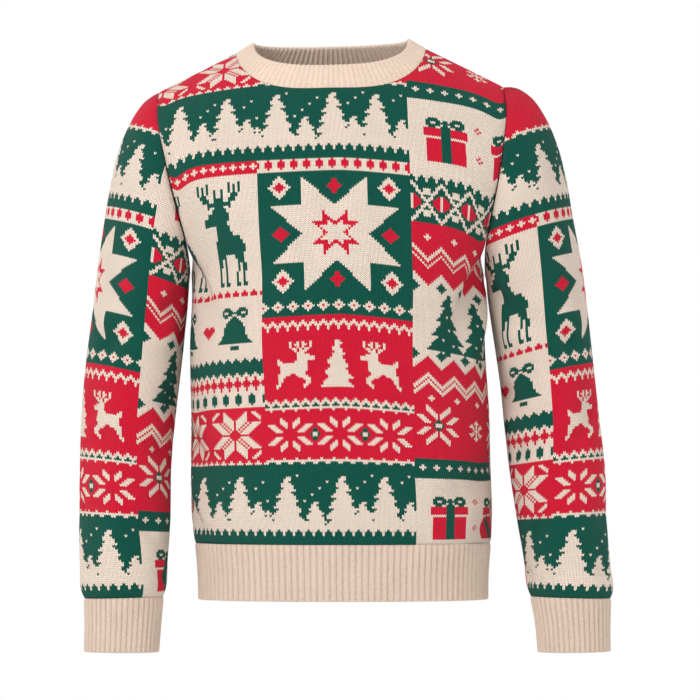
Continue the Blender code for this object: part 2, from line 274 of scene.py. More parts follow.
def curve_through(levels: Array, values: Array, at: Array) -> Array:
    """A smooth curve through values at their levels.

    Args:
        levels: Rising levels.
        values: A value, or an array of values, for each level.
        at: The levels wanted.

    Returns:
        The values at those levels.
    """
    x = np.asarray(levels, dtype=float)
    y = np.asarray(values, dtype=float)
    at = np.clip(np.asarray(at, dtype=float), x[0], x[-1])
    i = np.clip(np.searchsorted(x, at) - 1, 0, len(x) - 2)
    slopes = np.gradient(y, x, axis=0)
    shape = at.shape + (1,) * (y.ndim - 1)
    span = (x[i + 1] - x[i]).reshape(shape)
    t = ((at - x[i]).reshape(shape)) / span
    return (
        y[i] * (1 + 2 * t) * (1 - t) ** 2
        + y[i + 1] * t * t * (3 - 2 * t)
        + slopes[i] * span * t * (1 - t) ** 2
        + slopes[i + 1] * span * t * t * (t - 1)
    )


def lerp_grid(grid: Array, level: Array, across: Array) -> Array:
    """Values of a grid between its points.

    Args:
        grid: Values by level and place across.
        level: Fractional indices of levels.
        across: Fractional indices across.

    Returns:
        The interpolated values.
    """
    level = np.clip(level, 0, grid.shape[0] - 1)
    across = np.clip(across, 0, grid.shape[1] - 1)
    i = np.minimum(level.astype(int), grid.shape[0] - 2)
    j = np.minimum(across.astype(int), grid.shape[1] - 2)
    s, t = level - i, across - j
    if grid.ndim == 3:
        s, t = s[..., None], t[..., None]
    low = grid[i, j] * (1 - t) + grid[i, j + 1] * t
    high = grid[i + 1, j] * (1 - t) + grid[i + 1, j + 1] * t
    return low * (1 - s) + high * s


def unit(vectors: Array) -> Array:
    """Vectors of length one."""
    return vectors / np.maximum(np.linalg.norm(vectors, axis=-1, keepdims=True), 1e-12)


def smooth_step(t: Array) -> Array:
    """0 up to 0, 1 from 1 on, and a soft rise between."""
    t = np.clip(t, 0.0, 1.0)
    return t * t * (3 - 2 * t)


class BodyForm:
    """The outer surface of the body, as its cut pieces have it."""

    @staticmethod
    def at(height: Array, column: str) -> Array:
        """One column of the body's table at any heights."""
        return curve_through([r.height for r in BODY], [getattr(r, column) for r in BODY], height)

    @staticmethod
    def armhole_share(height: Array) -> Array:
        """The panel edge's depth over the body's depth."""
        rise = np.clip((height - UNDERARM) / (YOKE - UNDERARM), 0.0, 1.0)
        return ARMHOLE_SHARE * np.sqrt(1.0 - (1.0 - rise) ** 2)

    @staticmethod
    def section_depth(share: Array, edge: Array) -> Array:
        """Depth of the cross-section, 1 at the middle, at a share of the half width."""
        inside = 1.0 - np.abs(share) ** SECTION_POWER * (1.0 - edge**SECTION_POWER)
        return np.maximum(inside, 0.0) ** (1.0 / SECTION_POWER)

    @staticmethod
    def leaned(x: Array, y: Array, z: Array) -> Array:
        """Points after the slight lean with which the body hangs."""
        rolled = np.clip((z - UNDERARM) / -UNDERARM, 0.0, 1.0) ** 2
        moved = x + BodyForm.at(z, "shift")
        return np.stack([moved, y + 0 * moved, z + SHOULDER_ROLL * x * rolled], axis=-1)

    @staticmethod
    def point(share: Array, height: Array, side: Side) -> Array:
        """Points of the body up to the yoke."""
        depth = BodyForm.at(height, "front" if side < 0 else "back")
        edge = BodyForm.armhole_share(height)
        y = int(side) * depth * BodyForm.section_depth(share, edge)
        return BodyForm.leaned(share * BodyForm.at(height, "half_width"), y, height + 0 * share)

    @staticmethod
    def crest(x: Array) -> Array:
        """Height of the shoulder line at a distance from the middle."""
        x = np.abs(x)
        inner = NECK_RISE * (1.0 - (x / NECK_HALF) ** 2)
        return np.where(x < NECK_HALF, inner, TIP * (x - NECK_HALF) / (TIP_HALF - NECK_HALF))

    @staticmethod
    def over(share: Array, turn: Array, side: Side) -> Array:
        """Points above the yoke; turn goes from 0 there to a right angle at the shoulder line."""
        x = share * BodyForm.at(YOKE + (TIP - YOKE) * np.sin(turn), "half_width")
        depth = float(BodyForm.at(YOKE, "front" if side < 0 else "back"))
        fold = np.maximum(np.cos(turn), 0.0) ** SHOULDER_POWER
        y = int(side) * depth * BodyForm.section_depth(share, np.float64(ARMHOLE_SHARE)) * fold
        z = YOKE + (BodyForm.crest(x) - YOKE) * np.sin(turn)
        return BodyForm.leaned(x, y, z)

    @staticmethod
    def neck_turn(share: Array, side: Side) -> Array:
        """How far a column turns over the shoulder before the neckline cuts it."""
        middle, power = NECKLINES[side]
        lowest = math.asin((middle - YOKE) / (NECK_RISE - YOKE))
        full = math.pi / 2
        within = np.maximum(1.0 - (np.abs(share) / NECK_SHARE) ** power, 0.0) ** (1.0 / power)
        return full - (full - lowest) * within


class SleeveForm:
    """The outer surface of a sleeve, as its cut piece has it."""

    @staticmethod
    def ring(row: SleeveRow, angle: Array, hand: Hand) -> Array:
        """A ring of the sleeve, from its outer point at 0 by the front to its inner point."""
        across = np.cos(angle)
        x = (row.outer_x + row.inner_x) / 2 + across * (row.outer_x - row.inner_x) / 2
        z = (row.outer_z + row.inner_z) / 2 + across * (row.outer_z - row.inner_z) / 2
        return np.stack([int(hand) * x, row.y - row.half_depth * np.sin(angle), z], axis=-1)

    @staticmethod
    def armhole(angle: Array, hand: Hand) -> Array:
        """The armhole's ring, from the shoulder tip at 0 by the front to the underarm."""
        share = np.float64(int(hand))
        found = np.zeros(angle.shape + (3,))
        for side in Side:
            low = BodyForm.point(share, np.linspace(UNDERARM, YOKE, ARMHOLE_LEVELS), side)
            high = BodyForm.over(share, np.linspace(0.0, math.pi / 2, ARMHOLE_LEVELS)[1:], side)
            edge = np.concatenate([low, high])
            heights = (edge[:, 2] - edge[0, 2]) / (edge[-1, 2] - edge[0, 2])
            mine = (np.sin(angle) > 0) == (side < 0)
            level = (np.cos(angle[mine]) + 1.0) / 2
            found[mine] = np.stack([np.interp(level, heights, edge[:, k]) for k in range(3)], axis=-1)
        return found


class Fold(NamedTuple):
    """A soft trough (depth over 0) or ridge (under 0) between two places of a surface.

    A place is how far across it lies, from -1 to 1, and its height.
    """

    across: float
    height: float
    to_across: float
    to_height: float
    width: float
    depth: float


PANEL_FOLDS = {
    Side.FRONT: [
        Fold(0.88, -0.262, 0.62, -0.330, 0.016, 0.0035),
        Fold(0.93, -0.300, 0.72, -0.372, 0.014, -0.0025),
        Fold(-0.90, -0.262, -0.66, -0.322, 0.015, 0.0030),
        Fold(-0.95, -0.470, -0.70, -0.500, 0.020, 0.0025),
        Fold(0.92, -0.500, 0.60, -0.530, 0.022, 0.0025),
        Fold(0.98, -0.560, 0.72, -0.590, 0.012, 0.0022),
        Fold(-0.98, -0.552, -0.74, -0.588, 0.012, 0.0020),
    ],
    Side.BACK: [
        Fold(0.88, -0.262, 0.58, -0.320, 0.018, 0.0035),
        Fold(-0.88, -0.262, -0.60, -0.332, 0.018, 0.0038),
        Fold(-0.50, -0.430, 0.35, -0.450, 0.024, 0.0030),
        Fold(-0.70, -0.500, 0.10, -0.530, 0.020, 0.0024),
        Fold(0.20, -0.490, 0.80, -0.520, 0.020, 0.0026),
    ],
}
# The creases of either sleeve; across is over 0 in front of its outer line
SLEEVE_FOLDS = [
    Fold(0.80, -0.300, 0.30, -0.360, 0.014, 0.0040),
    Fold(0.75, -0.350, 0.25, -0.330, 0.012, -0.0020),
    Fold(0.85, -0.420, 0.20, -0.440, 0.014, 0.0035),
    Fold(0.80, -0.490, 0.30, -0.470, 0.012, 0.0030),
    Fold(0.10, -0.560, 0.70, -0.580, 0.012, 0.0030),
    Fold(0.20, -0.632, 0.90, -0.640, 0.009, 0.0028),
    Fold(-0.10, -0.610, -0.80, -0.640, 0.010, 0.0030),
    Fold(-0.20, -0.400, -0.80, -0.430, 0.014, 0.0036),
    Fold(-0.25, -0.470, -0.85, -0.480, 0.012, 0.0034),
    Fold(-0.30, -0.330, -0.80, -0.310, 0.014, 0.0034),
]


class Surface:
    """A fine grid of points over a piece's outer face, levels rising and places running rightwards.

    Args:
        points: The grid, by level and place.
        top: Where each place's level ends, as an index, for a piece with a cut neckline.
    """

    def __init__(self, points: Array, top: Optional[Array] = None) -> None:
        """Keeps the grid and works out its normals and arcs."""
        self.points = points
        self.levels, self.places = points.shape[:2]
        self.top = np.full(self.places, self.levels - 1.0) if top is None else top
        self.measure()

    def measure(self) -> None:
        """Works out normals, and the arcs square to each family of lines."""
        across = np.gradient(self.points, axis=1)
        along = np.gradient(self.points, axis=0)
        self.normals = unit(np.cross(across, along))
        self.arc_across = self.arcs(self.points, unit(along), 1)
        self.arc_along = self.arcs(self.points, unit(across), 0)
        middle = self.places // 2
        self.arc_across -= self.arc_across[:, middle : middle + 1]

    @staticmethod
    def arcs(points: Array, skipped: Array, axis: int) -> Array:
        """Arc lengths along one axis of the grid, leaving out what runs along another direction."""
        step = np.diff(points, axis=axis)
        way = np.take(skipped, range(1, points.shape[axis]), axis=axis)
        step = step - (step * way).sum(-1, keepdims=True) * way
        length = np.linalg.norm(step, axis=-1)
        start = np.zeros_like(np.take(length, [0], axis=axis))
        return np.concatenate([start, np.cumsum(length, axis=axis)], axis=axis)

    def edge_distance(self) -> Array:
        """How far each point lies from the piece's sewn edges, which are all four."""
        end = lerp_grid(self.arc_along, self.top, np.arange(self.places, dtype=float))
        far = np.minimum(1.0, np.abs(self.arc_across[:, -1:] - self.arc_across))
        far = np.minimum(far, np.abs(self.arc_across - self.arc_across[:, :1]))
        far = np.minimum(far, self.arc_along)
        return np.minimum(far, np.abs(end[None, :] - self.arc_along))

    def sew(self) -> Array:
        """Dips the surface at its sewn edges, and gives the points' distances from them."""
        sewn = self.edge_distance()
        self.sink(SEAM_DIP * np.exp(-((sewn / SEAM_WIDTH) ** 2)))
        return sewn

    def place(self, across: float, height: float) -> Array:
        """The point of the surface at a place across, from -1 to 1, and a height."""
        j = (across + 1) / 2 * (self.places - 1)
        column = lerp_grid(self.points, np.arange(self.levels), np.full(self.levels, j))
        level = np.interp(height, np.maximum.accumulate(column[:, 2]), np.arange(self.levels))
        return lerp_grid(self.points, np.array([level]), np.array([j]))[0]

    def sink(self, depth: Array) -> None:
        """Moves the points inwards by a depth and measures again."""
        self.points = self.points - self.normals * depth[..., None]
        self.measure()

    def fold(self, folds: list) -> None:
        """Presses soft troughs and ridges into the surface."""
        depth = np.zeros(self.points.shape[:2])
        for f in folds:
            start, end = self.place(f.across, f.height), self.place(f.to_across, f.to_height)
            way = end - start
            t = ((self.points - start) @ way) / max(float(way @ way), 1e-9)
            held = np.clip(t, 0.0, 1.0)
            off = np.linalg.norm(self.points - start - held[..., None] * way, axis=-1)
            fade = np.sin(math.pi * np.clip(0.5 * held + 0.25, 0.0, 1.0)) ** 2
            depth += FOLD_DEPTH * f.depth * fade * np.exp(-((off / f.width) ** 2))
        self.sink(depth)


def panel_shares(side: Side) -> Array:
    """Shares of the half width across a panel, closer together towards its sides."""
    return -int(side) * np.sin(math.pi / 2 * np.linspace(-1.0, 1.0, PANEL_PLACES))


def body_surface(side: Side) -> Surface:
    """The grid of a front or back panel, from the hem seam over the shoulder."""
    share = panel_shares(side)
    low = np.linspace(HEM_SEAM, YOKE, 260)
    turn = np.linspace(0.0, math.pi / 2, 121)[1:]
    below = BodyForm.point(share[None, :], low[:, None], side)
    above = BodyForm.over(share[None, :], turn[:, None], side)
    top = len(low) - 1 + BodyForm.neck_turn(share, side) / (math.pi / 2) * len(turn)
    return Surface(np.concatenate([below, above]), top)


def hem_surface(side: Side) -> Surface:
    """The grid of a hem rib's outer face, from its free edge up to the seam."""
    heights = np.linspace(HEM, HEM_SEAM, 24)
    return Surface(BodyForm.point(panel_shares(side)[None, :], heights[:, None], side))


def sleeve_angles(hand: Hand) -> Array:
    """Angles round a sleeve from the underarm seam to itself, running to the viewer's right."""
    return -int(hand) * math.pi * np.linspace(-1.0, 1.0, SLEEVE_PLACES)


def sleeve_surface(hand: Hand) -> Surface:
    """The grid of a sleeve, from the cuff seam up to the armhole."""
    angles = sleeve_angles(hand)
    rings = [SleeveForm.ring(row, angles, hand) for row in SLEEVES[hand][:-CUFF_ROWS][::-1]]
    rings.append(SleeveForm.armhole(angles, hand))
    rings = np.array(rings)
    gaps = np.linalg.norm(np.diff(rings, axis=0), axis=-1).mean(axis=1)
    levels = np.concatenate([[0.0], np.cumsum(gaps)])
    return Surface(curve_through(levels, rings, np.linspace(0.0, levels[-1], 320)))


def cuff_surface(hand: Hand) -> Surface:
    """The grid of a cuff's outer face, from its free edge up to the seam."""
    angles = sleeve_angles(hand)
    rings = [SleeveForm.ring(row, angles, hand) for row in SLEEVES[hand][-CUFF_ROWS - 1 :][::-1]]
    return Surface(curve_through([0.0, 1.0, 2.0], np.array(rings), np.linspace(0.0, 2.0, 20)))


def collar_surface() -> Surface:
    """The grid of the collar's outer face, from the neck seam to its fold, once round."""
    angle = np.linspace(0.0, 2 * math.pi, 361)
    feet = []
    for a in angle:
        side = Side.BACK if math.sin(a) >= 0 else Side.FRONT
        share = np.float64(NECK_SHARE * math.cos(a))
        feet.append(BodyForm.over(share, BodyForm.neck_turn(share, side), side))
    feet = np.array(feet)
    reach = (1.0 - np.abs(np.cos(angle)) ** FOLD_POWER) ** (1.0 / FOLD_POWER)
    behind = (np.sin(angle) >= 0)[:, None]
    y, z = np.where(behind, FOLD_MIDDLES[Side.BACK], FOLD_MIDDLES[Side.FRONT]).T
    z = FOLD_SIDE + reach * (z - FOLD_SIDE)
    folds = BodyForm.leaned(FOLD_HALF * np.cos(angle), reach * y, z)
    rise = np.linspace(0.0, 1.0, 16)[:, None, None]
    return Surface(feet[None] * (1 - rise) + folds[None] * rise)


# --------------------------------------------------------------------------------------- the charts


class Patch:
    """A rectangle of a chart with one ground, painted in wales and courses of its own.

    Args:
        cells: The chart's stitches, by course and wale.
        first: The patch's first wale.
        last: The wale after its last.
        low: Its lowest course.
        high: The course above its highest.
        ground: The yarn of its ground.
        moved: How many courses higher it is knitted than its own numbers say.
    """

    def __init__(
        self, chart: "Chart", first: int, last: int, low: int, high: int, ground: Yarn, moved: int = 0
    ) -> None:
        """Fills the ground."""
        self.view = chart.cells[low + moved : high + moved, first + chart.middle : last + chart.middle]
        self.view[:] = ground
        self.wale, self.course = np.meshgrid(np.arange(first, last), np.arange(low, high))

    def paint(self, mask: Array, yarn: Yarn) -> None:
        """Knits the masked stitches in a yarn."""
        self.view[mask] = yarn

    def band(self, low: int, high: int, yarn: Yarn) -> None:
        """Whole courses of one yarn."""
        self.paint((self.course >= low) & (self.course < high), yarn)

    def saw(
        self, low: float, rise: float, period: int, yarn: Yarn, phase: float = 0.0, up: bool = True
    ) -> None:
        """Fills all above (or below) a zigzag line with a yarn."""
        line = low + rise * self.wave(period, phase)
        self.paint(self.course >= line if up else self.course < line, yarn)

    def wave(self, period: int, phase: float = 0.0) -> Array:
        """A zigzag from 0 to 1 along the wales."""
        t = ((self.wale - phase) / period) % 1.0
        return 1.0 - np.abs(2 * t - 1.0)

    def zigzag(
        self, low: float, rise: float, period: int, yarn: Yarn, phase: float, thick: float
    ) -> None:
        """A zigzag line."""
        line = low + rise * self.wave(period, phase)
        self.paint(np.abs(self.course - line) < thick / 2, yarn)

    def diamonds(
        self,
        middle: float,
        half_high: float,
        half_wide: float,
        period: int,
        yarn: Yarn,
        phase: float = 0.0,
    ) -> None:
        """A row of diamonds."""
        off = (self.wale - phase + period / 2) % period - period / 2
        inside = np.abs(off) / half_wide + np.abs(self.course - middle) / half_high
        self.paint(inside <= 1.0, yarn)

    def star(self, wale: float, course: float, wide: float, high: float, yarn: Yarn) -> None:
        """A solid eight-pointed star."""
        self.paint(self.in_star(wale, course, wide, high), yarn)

    def in_star(self, wale: float, course: float, wide: float, high: float) -> Array:
        """Whether stitches lie in an eight-pointed star."""
        ax = np.abs(self.wale - wale) / wide
        ay = np.abs(self.course - course) / high
        upright = (ax <= 0.5) & (ay <= 0.5 + ax)
        level = (ax > 0.5) & (ay <= 0.5) & (ay >= ax - 0.5)
        return upright | level

    def petals(
        self, wale: float, course: float, wide: float, high: float, yarn: Yarn, gap: float
    ) -> None:
        """An eight-petalled flower: a star whose petals stand apart."""
        ax = np.abs(self.wale - wale) / wide
        ay = np.abs(self.course - course) / high
        apart = (ax > gap / 2) & (ay > gap / 2) & (np.abs(ax - ay) > gap)
        self.paint(self.in_star(wale, course, wide, high) & apart, yarn)

    def fir(
        self, wale: float, base: float, high: float, half: float, yarn: Yarn, tiers: int
    ) -> None:
        """A fir whose boughs widen in tiers."""
        t = (self.course - base) / high
        across = self.wale - wale
        tier = (t * tiers + 0.45 * (across > 0)) % 1.0
        width = half * (1.0 - t) * 0.74 + half * 0.42 * (1.0 - tier) * (1.0 - 0.5 * t)
        inside = (t >= 0) & (t < 1.0) & (np.abs(across) <= np.maximum(width, 0.5))
        self.paint(inside, yarn)

    def sprite(self, wale: int, course: int, art: list, yarn: Yarn, mirrored: bool = False) -> None:
        """A charted motif, its lowest row last, from its lower left stitch."""
        for up, line in enumerate(reversed(art)):
            for along, mark in enumerate(reversed(line) if mirrored else line):
                if mark != " ":
                    self.paint((self.wale == wale + along) & (self.course == course + up), yarn)

    def spots(self, places: list, yarn: Yarn) -> None:
        """Single stitches."""
        for wale, course in places:
            self.paint((self.wale == wale) & (self.course == course), yarn)

    def florets(self, course: int, period: int, yarn: Yarn, phase: int = 0) -> None:
        """A row of five-stitch flowers."""
        off = (self.wale - phase) % period
        arm = (off == 0) & (np.abs(self.course - course) <= 1)
        cross = ((off == 1) | (off == period - 1)) & (self.course == course)
        self.paint(arm | cross, yarn)


LEAPING_DEER = [
    "  #  # #  #      ",
    "  # ## ## #      ",
    "  #  # #  #      ",
    "   ## # ##       ",
    "    ### #        ",
    "     ###         ",
    "   #####         ",
    " #######         ",
    " #######       # ",
    "    #####     ## ",
    "    ############ ",
    "    ###########  ",
    "    ###########  ",
    "    ###########  ",
    "     ##########  ",
    "     ####  ##### ",
    "    ####     ### ",
    "   ###        ## ",
    "   ##         ## ",
    "   ##          # ",
    "    ##         ##",
    "     #          #",
]
STANDING_DEER = [
    " #   #        #   # ",
    " # # #        # # # ",
    " # # #  #  #  # # # ",
    "  ###   #  #   ###  ",
    "   ###  ####  ###   ",
    "     ##########     ",
    "     #  ####  #     ",
    "       ######       ",
    "     #########      ",
    "   ###########      ",
    "   ##########       ",
    "        ######      ",
    "        ######      ",
    "        #######     ",
    "        ##########  ",
    "       ############ ",
    "       #############",
    "       #############",
    "       ############ ",
    "       ####    #### ",
    "       ## #     ### ",
    "       ## #     # ##",
    "       #  #     # ##",
    "       #  #    #  # ",
    "       #  #    #  # ",
    "       #  #    #  # ",
    "       ## ##   ## ##",
]
BELL = [
    "   ###    ###   ",
    "  #####  #####  ",
    "  #  ######  #  ",
    "  #####  #####  ",
    "   ##  ##  ##   ",
    "      ####      ",
    "     ######     ",
    "    ########    ",
    "    ########    ",
    "   ##########   ",
    "   ##########   ",
    "   ##########   ",
    "   ##########   ",
    "  ############  ",
    "  ############  ",
    " ############## ",
    "################",
    "                ",
    "      ####      ",
    "      ####      ",
]
PARCEL = ["#" * 18] * 4 + [" " * 18] + [" " + "#" * 16 + " "] * 11
BOW = [
    " ####      #### ",
    "###### ## ######",
    "##  ########  ##",
    "###### ## ######",
    " ###  ####  ### ",
]
SMALL_FLAKE = [
    "    #    ",
    "   ###   ",
    " #  #  # ",
    "### # ###",
    "  # # #  ",
    "   ###   ",
    "  # # #  ",
    "### # ###",
    " #  #  # ",
    "   ###   ",
    "    #    ",
]
HEART = [
    " ## ## ",
    "#######",
    "#######",
    " ##### ",
    "  ###  ",
    "   #   ",
]


class Chart:
    """The yarn of every stitch: three strips of patches side by side, repeated both ways.

    Args:
        shift: How many wales the whole chart moves to the viewer's right.
    """

    middle = 86  # wales from the middle to where the chart repeats
    half = 30  # half the wales of the centre strip
    plain = 41  # a course of the centre strip's red ground
    cap = PATTERN_ROWS + 40  # the course above which the sleeves' tops are plain

    def __init__(self, shift: int = 0) -> None:
        """Paints the three strips."""
        self.shift = shift
        self.cells = np.zeros((PATTERN_ROWS, 2 * self.middle), dtype=int)
        self.paint_left()
        self.paint_centre()
        self.paint_right()

    def yarn(self, wale: Array, course: Array) -> Array:
        """The yarns of stitches by their wale and course."""
        column = (wale - self.shift + self.middle) % (2 * self.middle)
        plain = (np.abs(column - self.middle) < self.half) & (course > self.cap)
        return self.cells[np.where(plain, self.plain, course % PATTERN_ROWS), column]

    @staticmethod
    def fir_wood(patch: Patch, tall: list, small: list) -> None:
        """White firs on snow under a green sky with falling flakes."""
        snow = 9.0 + 1.4 * np.sin(patch.wale * 0.42) + 0.8 * np.sin(patch.wale * 1.13 + 1.0)
        teeth = 4.0 + 2.9 * patch.wave(4)
        patch.paint((patch.course >= teeth) & (patch.course < snow), Yarn.CREAM)
        for n in range(patch.wale.shape[1]):
            wale, course = int(patch.wale[0, n]), 20 + (n * 11) % 15
            if n % 3 == 0 and all(abs(wale - f) > 9 - (course - 10) * 0.25 for f in tall):
                patch.spots([(wale, course)], Yarn.CREAM)
        for wale in small:
            patch.fir(wale, 7, 13, 5.2, Yarn.CREAM, 3)
        for wale in tall:
            patch.fir(wale, 7, 25, 7.0, Yarn.CREAM, 5)

    def paint_left(self) -> None:
        """The strip at the viewer's left."""
        first, last = -self.middle, -self.half
        wood = Patch(self, first, last, 0, 38, Yarn.GREEN)
        self.fir_wood(wood, [-79, -62, -42], [-71, -52, -34, -87])
        flakes = Patch(self, first, last, 38, 66, Yarn.RED)
        flakes.saw(37.0, 2.6, 4, Yarn.CREAM, up=False)
        for wale in (-44, -71):
            self.snowflake(flakes, wale, 52)
        rows = Patch(self, first, last, 73, 90, Yarn.CREAM, -7)
        rows.diamonds(76.5, 2.6, 2.4, 6, Yarn.GREEN, 0)
        rows.diamonds(84.0, 3.2, 2.6, 4, Yarn.RED, 2)
        rows.saw(87.6, 2.6, 4, Yarn.GREEN)
        bells = Patch(self, first, last, 38, 74, Yarn.CREAM, 45)
        bells.band(38, 43, Yarn.GREEN)
        bells.saw(42.0, 2.6, 4, Yarn.GREEN, up=False)
        for wale in (-50, -80):
            bells.sprite(wale, 49, BELL, Yarn.GREEN)
            bells.sprite(wale - 9, 55, HEART, Yarn.RED)
        deer = Patch(self, first, last, 119, 176, Yarn.CREAM)
        deer.saw(119.0, 2.6, 4, Yarn.RED, up=False)
        for wale in (-56, -83):
            deer.sprite(wale, 124, tall_deer(), Yarn.GREEN)
        top = Patch(self, first, last, 176, PATTERN_ROWS, Yarn.RED)
        top.diamonds(179.0, 1.9, 1.9, 4, Yarn.CREAM, 0)

    @staticmethod
    def snowflake(patch: Patch, wale: int, course: int) -> None:
        """A large flake: eight petals with dotted lines between them."""
        patch.petals(wale, course, 11.5, 12.0, Yarn.CREAM, 0.13)
        dx, dy = np.abs(patch.wale - wale), np.abs(patch.course - course)
        slant = (np.abs(dx - dy * 0.9) < 0.6) & (dx + dy > 3) & (dx < 11) & ((dx + dy) % 2 == 0)
        patch.paint(slant, Yarn.CREAM)
        corner = (np.minimum(dx, dy) >= 8) & (np.maximum(dx, dy) <= 11)
        patch.paint(corner & (dx + dy > 18) & (dx + dy < 21), Yarn.CREAM)

    def paint_centre(self) -> None:
        """The middle strip."""
        first, last = -self.half, self.half
        wood = Patch(self, first, last, 0, 38, Yarn.GREEN)
        self.fir_wood(wood, [-22, 0, 17], [-32, -11, 8, 27])
        leap = Patch(self, first, last, 36, 79, Yarn.RED, 29)
        crest = 36.0 + 2.0 * leap.wave(4)
        leap.paint(leap.course < crest, Yarn.GREEN)
        leap.paint((leap.course >= crest) & (leap.course < crest + 2), Yarn.CREAM)
        leap.sprite(-25, 45, LEAPING_DEER, Yarn.CREAM, mirrored=True)
        leap.sprite(8, 45, LEAPING_DEER, Yarn.CREAM)
        leap.fir(-0.5, 45, 22, 6.0, Yarn.CREAM, 4)
        crest = 72.0 + 2.4 * leap.wave(4)
        leap.paint((leap.course >= crest) & (leap.course < crest + 2.6), Yarn.CREAM)
        self.lattice(first, last)
        self.great_star(first, last)
        peerie = Patch(self, first, last, 176, PATTERN_ROWS, Yarn.CREAM)
        off = (peerie.wale + 1) % 5
        square = ((off <= 1) | (off == 4)) & (np.abs(peerie.course - 179) <= 1)
        tick = (off == 0) & (np.abs(peerie.course - 179) <= 2)
        peerie.paint(square | tick, Yarn.RED)

    def lattice(self, first: int, last: int) -> None:
        """A row of three eight-petalled flowers on red between waved green borders."""
        patch = Patch(self, first, last, 77, 106, Yarn.RED, -41)
        for lift in (-1, 1):
            rise = (patch.course - 92.5) * lift
            border = 12.5 + 1.8 * patch.wave(5, 2)
            patch.paint(rise > border - 1.6, Yarn.CREAM)
            patch.paint(rise > border, Yarn.GREEN)
        for wale in (-20.5, -0.5, 19.5):
            patch.petals(wale, 92.5, 8.5, 9.0, Yarn.CREAM, 0.19)
        for wale in (-10.5, 9.5):
            near = np.abs(patch.wale - wale) + np.abs(patch.course - 92.5) * 0.6
            patch.paint(near < 2.4, Yarn.GREEN)
            patch.paint(near < 1.1, Yarn.CREAM)

    def great_star(self, first: int, last: int) -> None:
        """A large cream star on green with lozenges round it and a small star in its middle."""
        patch = Patch(self, first, last, 108, 176, Yarn.GREEN)
        patch.diamonds(112.0, 2.6, 2.2, 6, Yarn.CREAM, 0)
        patch.diamonds(112.0, 0.9, 0.9, 6, Yarn.RED, 0)
        centre = 146.0
        patch.star(-0.5, centre, 25.5, 26.5, Yarn.CREAM)
        x, y = np.abs(patch.wale + 0.5), np.abs(patch.course - centre)
        patch.paint(np.abs(x - 21.5) + np.abs(y - 22.0) * 0.85 < 4.6, Yarn.CREAM)
        patch.paint(np.abs(x - 21.5) + np.abs(y - 22.0) * 0.85 < 2.2, Yarn.RED)
        patch.paint(x + np.abs(y - 22.0) * 0.85 < 3.2, Yarn.RED)
        patch.paint(np.abs(x - 21.5) + y * 0.85 < 3.2, Yarn.RED)
        patch.paint(patch.in_star(-0.5, centre, 9.0, 10.0), Yarn.RED)
        patch.paint(patch.in_star(-0.5, centre, 6.0, 6.5), Yarn.CREAM)

    def paint_right(self) -> None:
        """The strip at the viewer's right."""
        first, last = self.half, self.middle
        bloom = Patch(self, first, last, 0, 44, Yarn.RED)
        bloom.saw(40.5, 6.5, 12, Yarn.CREAM, phase=30)
        for low in (28.5, 31.8):
            bloom.zigzag(low, 6.0, 12, Yarn.CREAM, 30, 1.7)
        bloom.florets(26, 12, Yarn.CREAM, phase=37)
        for wale in (40, 80):
            bloom.petals(wale, 12.5, 10.5, 10.5, Yarn.CREAM, 0.15)
            ring = (np.abs(bloom.wale - wale) + np.abs(bloom.course - 12.5) < 3.2)
            bloom.paint(ring, Yarn.GREEN)
            near = (np.abs(bloom.wale - wale) <= 1) & (np.abs(bloom.course - 12.5) < 1)
            bloom.paint(near, Yarn.CREAM)
        bloom.sprite(56, 7, SMALL_FLAKE, Yarn.CREAM)
        firs = Patch(self, first, last, 44, 83, Yarn.CREAM)
        firs.saw(40.5, 6.5, 12, Yarn.RED, phase=30, up=False)
        firs.saw(80.0, 6.0, 12, Yarn.RED, phase=36)
        for middle in (47.0, 79.0):
            firs.diamonds(middle, 2.2, 2.0, 12, Yarn.GREEN, 30)
        for wale in (45, 62, 79):
            firs.fir(wale, 50, 27, 8.0, Yarn.GREEN, 4)
            trunk = (firs.course >= 48) & (firs.course < 51)
            firs.paint((np.abs(firs.wale - wale) <= 1) & trunk, Yarn.GREEN)
            firs.spots([(wale - 2, 55), (wale + 1, 60), (wale, 66), (wale + 3, 53)], Yarn.CREAM)
        zig = Patch(self, first, last, 83, 109, Yarn.RED)
        zig.saw(80.0, 6.0, 12, Yarn.CREAM, phase=36, up=False)
        for low in (88.0, 91.6):
            zig.zigzag(low, 6.0, 12, Yarn.CREAM, 36, 1.7)
        zig.florets(102, 12, Yarn.CREAM, phase=36)
        self.lozenges(Patch(self, first, last, 109, 132, Yarn.GREEN))
        gifts = Patch(self, first, last, 132, 168, Yarn.CREAM)
        for wale in (36, 64):
            gifts.sprite(wale, 138, PARCEL, Yarn.RED)
            ribbon = (gifts.course >= 138) & (gifts.course < 154)
            gifts.paint((np.abs(gifts.wale - wale - 8.5) < 2) & ribbon, Yarn.GREEN)
            gifts.sprite(wale + 1, 154, BOW, Yarn.GREEN)
        for low in (143, 156):
            gifts.spots([(57, low), (59, low), (58, low - 1), (58, low + 1)], Yarn.RED)
        blossom = Patch(self, first, last, 168, 178, Yarn.GREEN)
        blossom.florets(173, 6, Yarn.CREAM, phase=33)
        Patch(self, first, last, 178, PATTERN_ROWS, Yarn.RED)
        strip = self.cells[:, first + self.middle :]
        strip[:] = np.roll(strip, 46, axis=0)

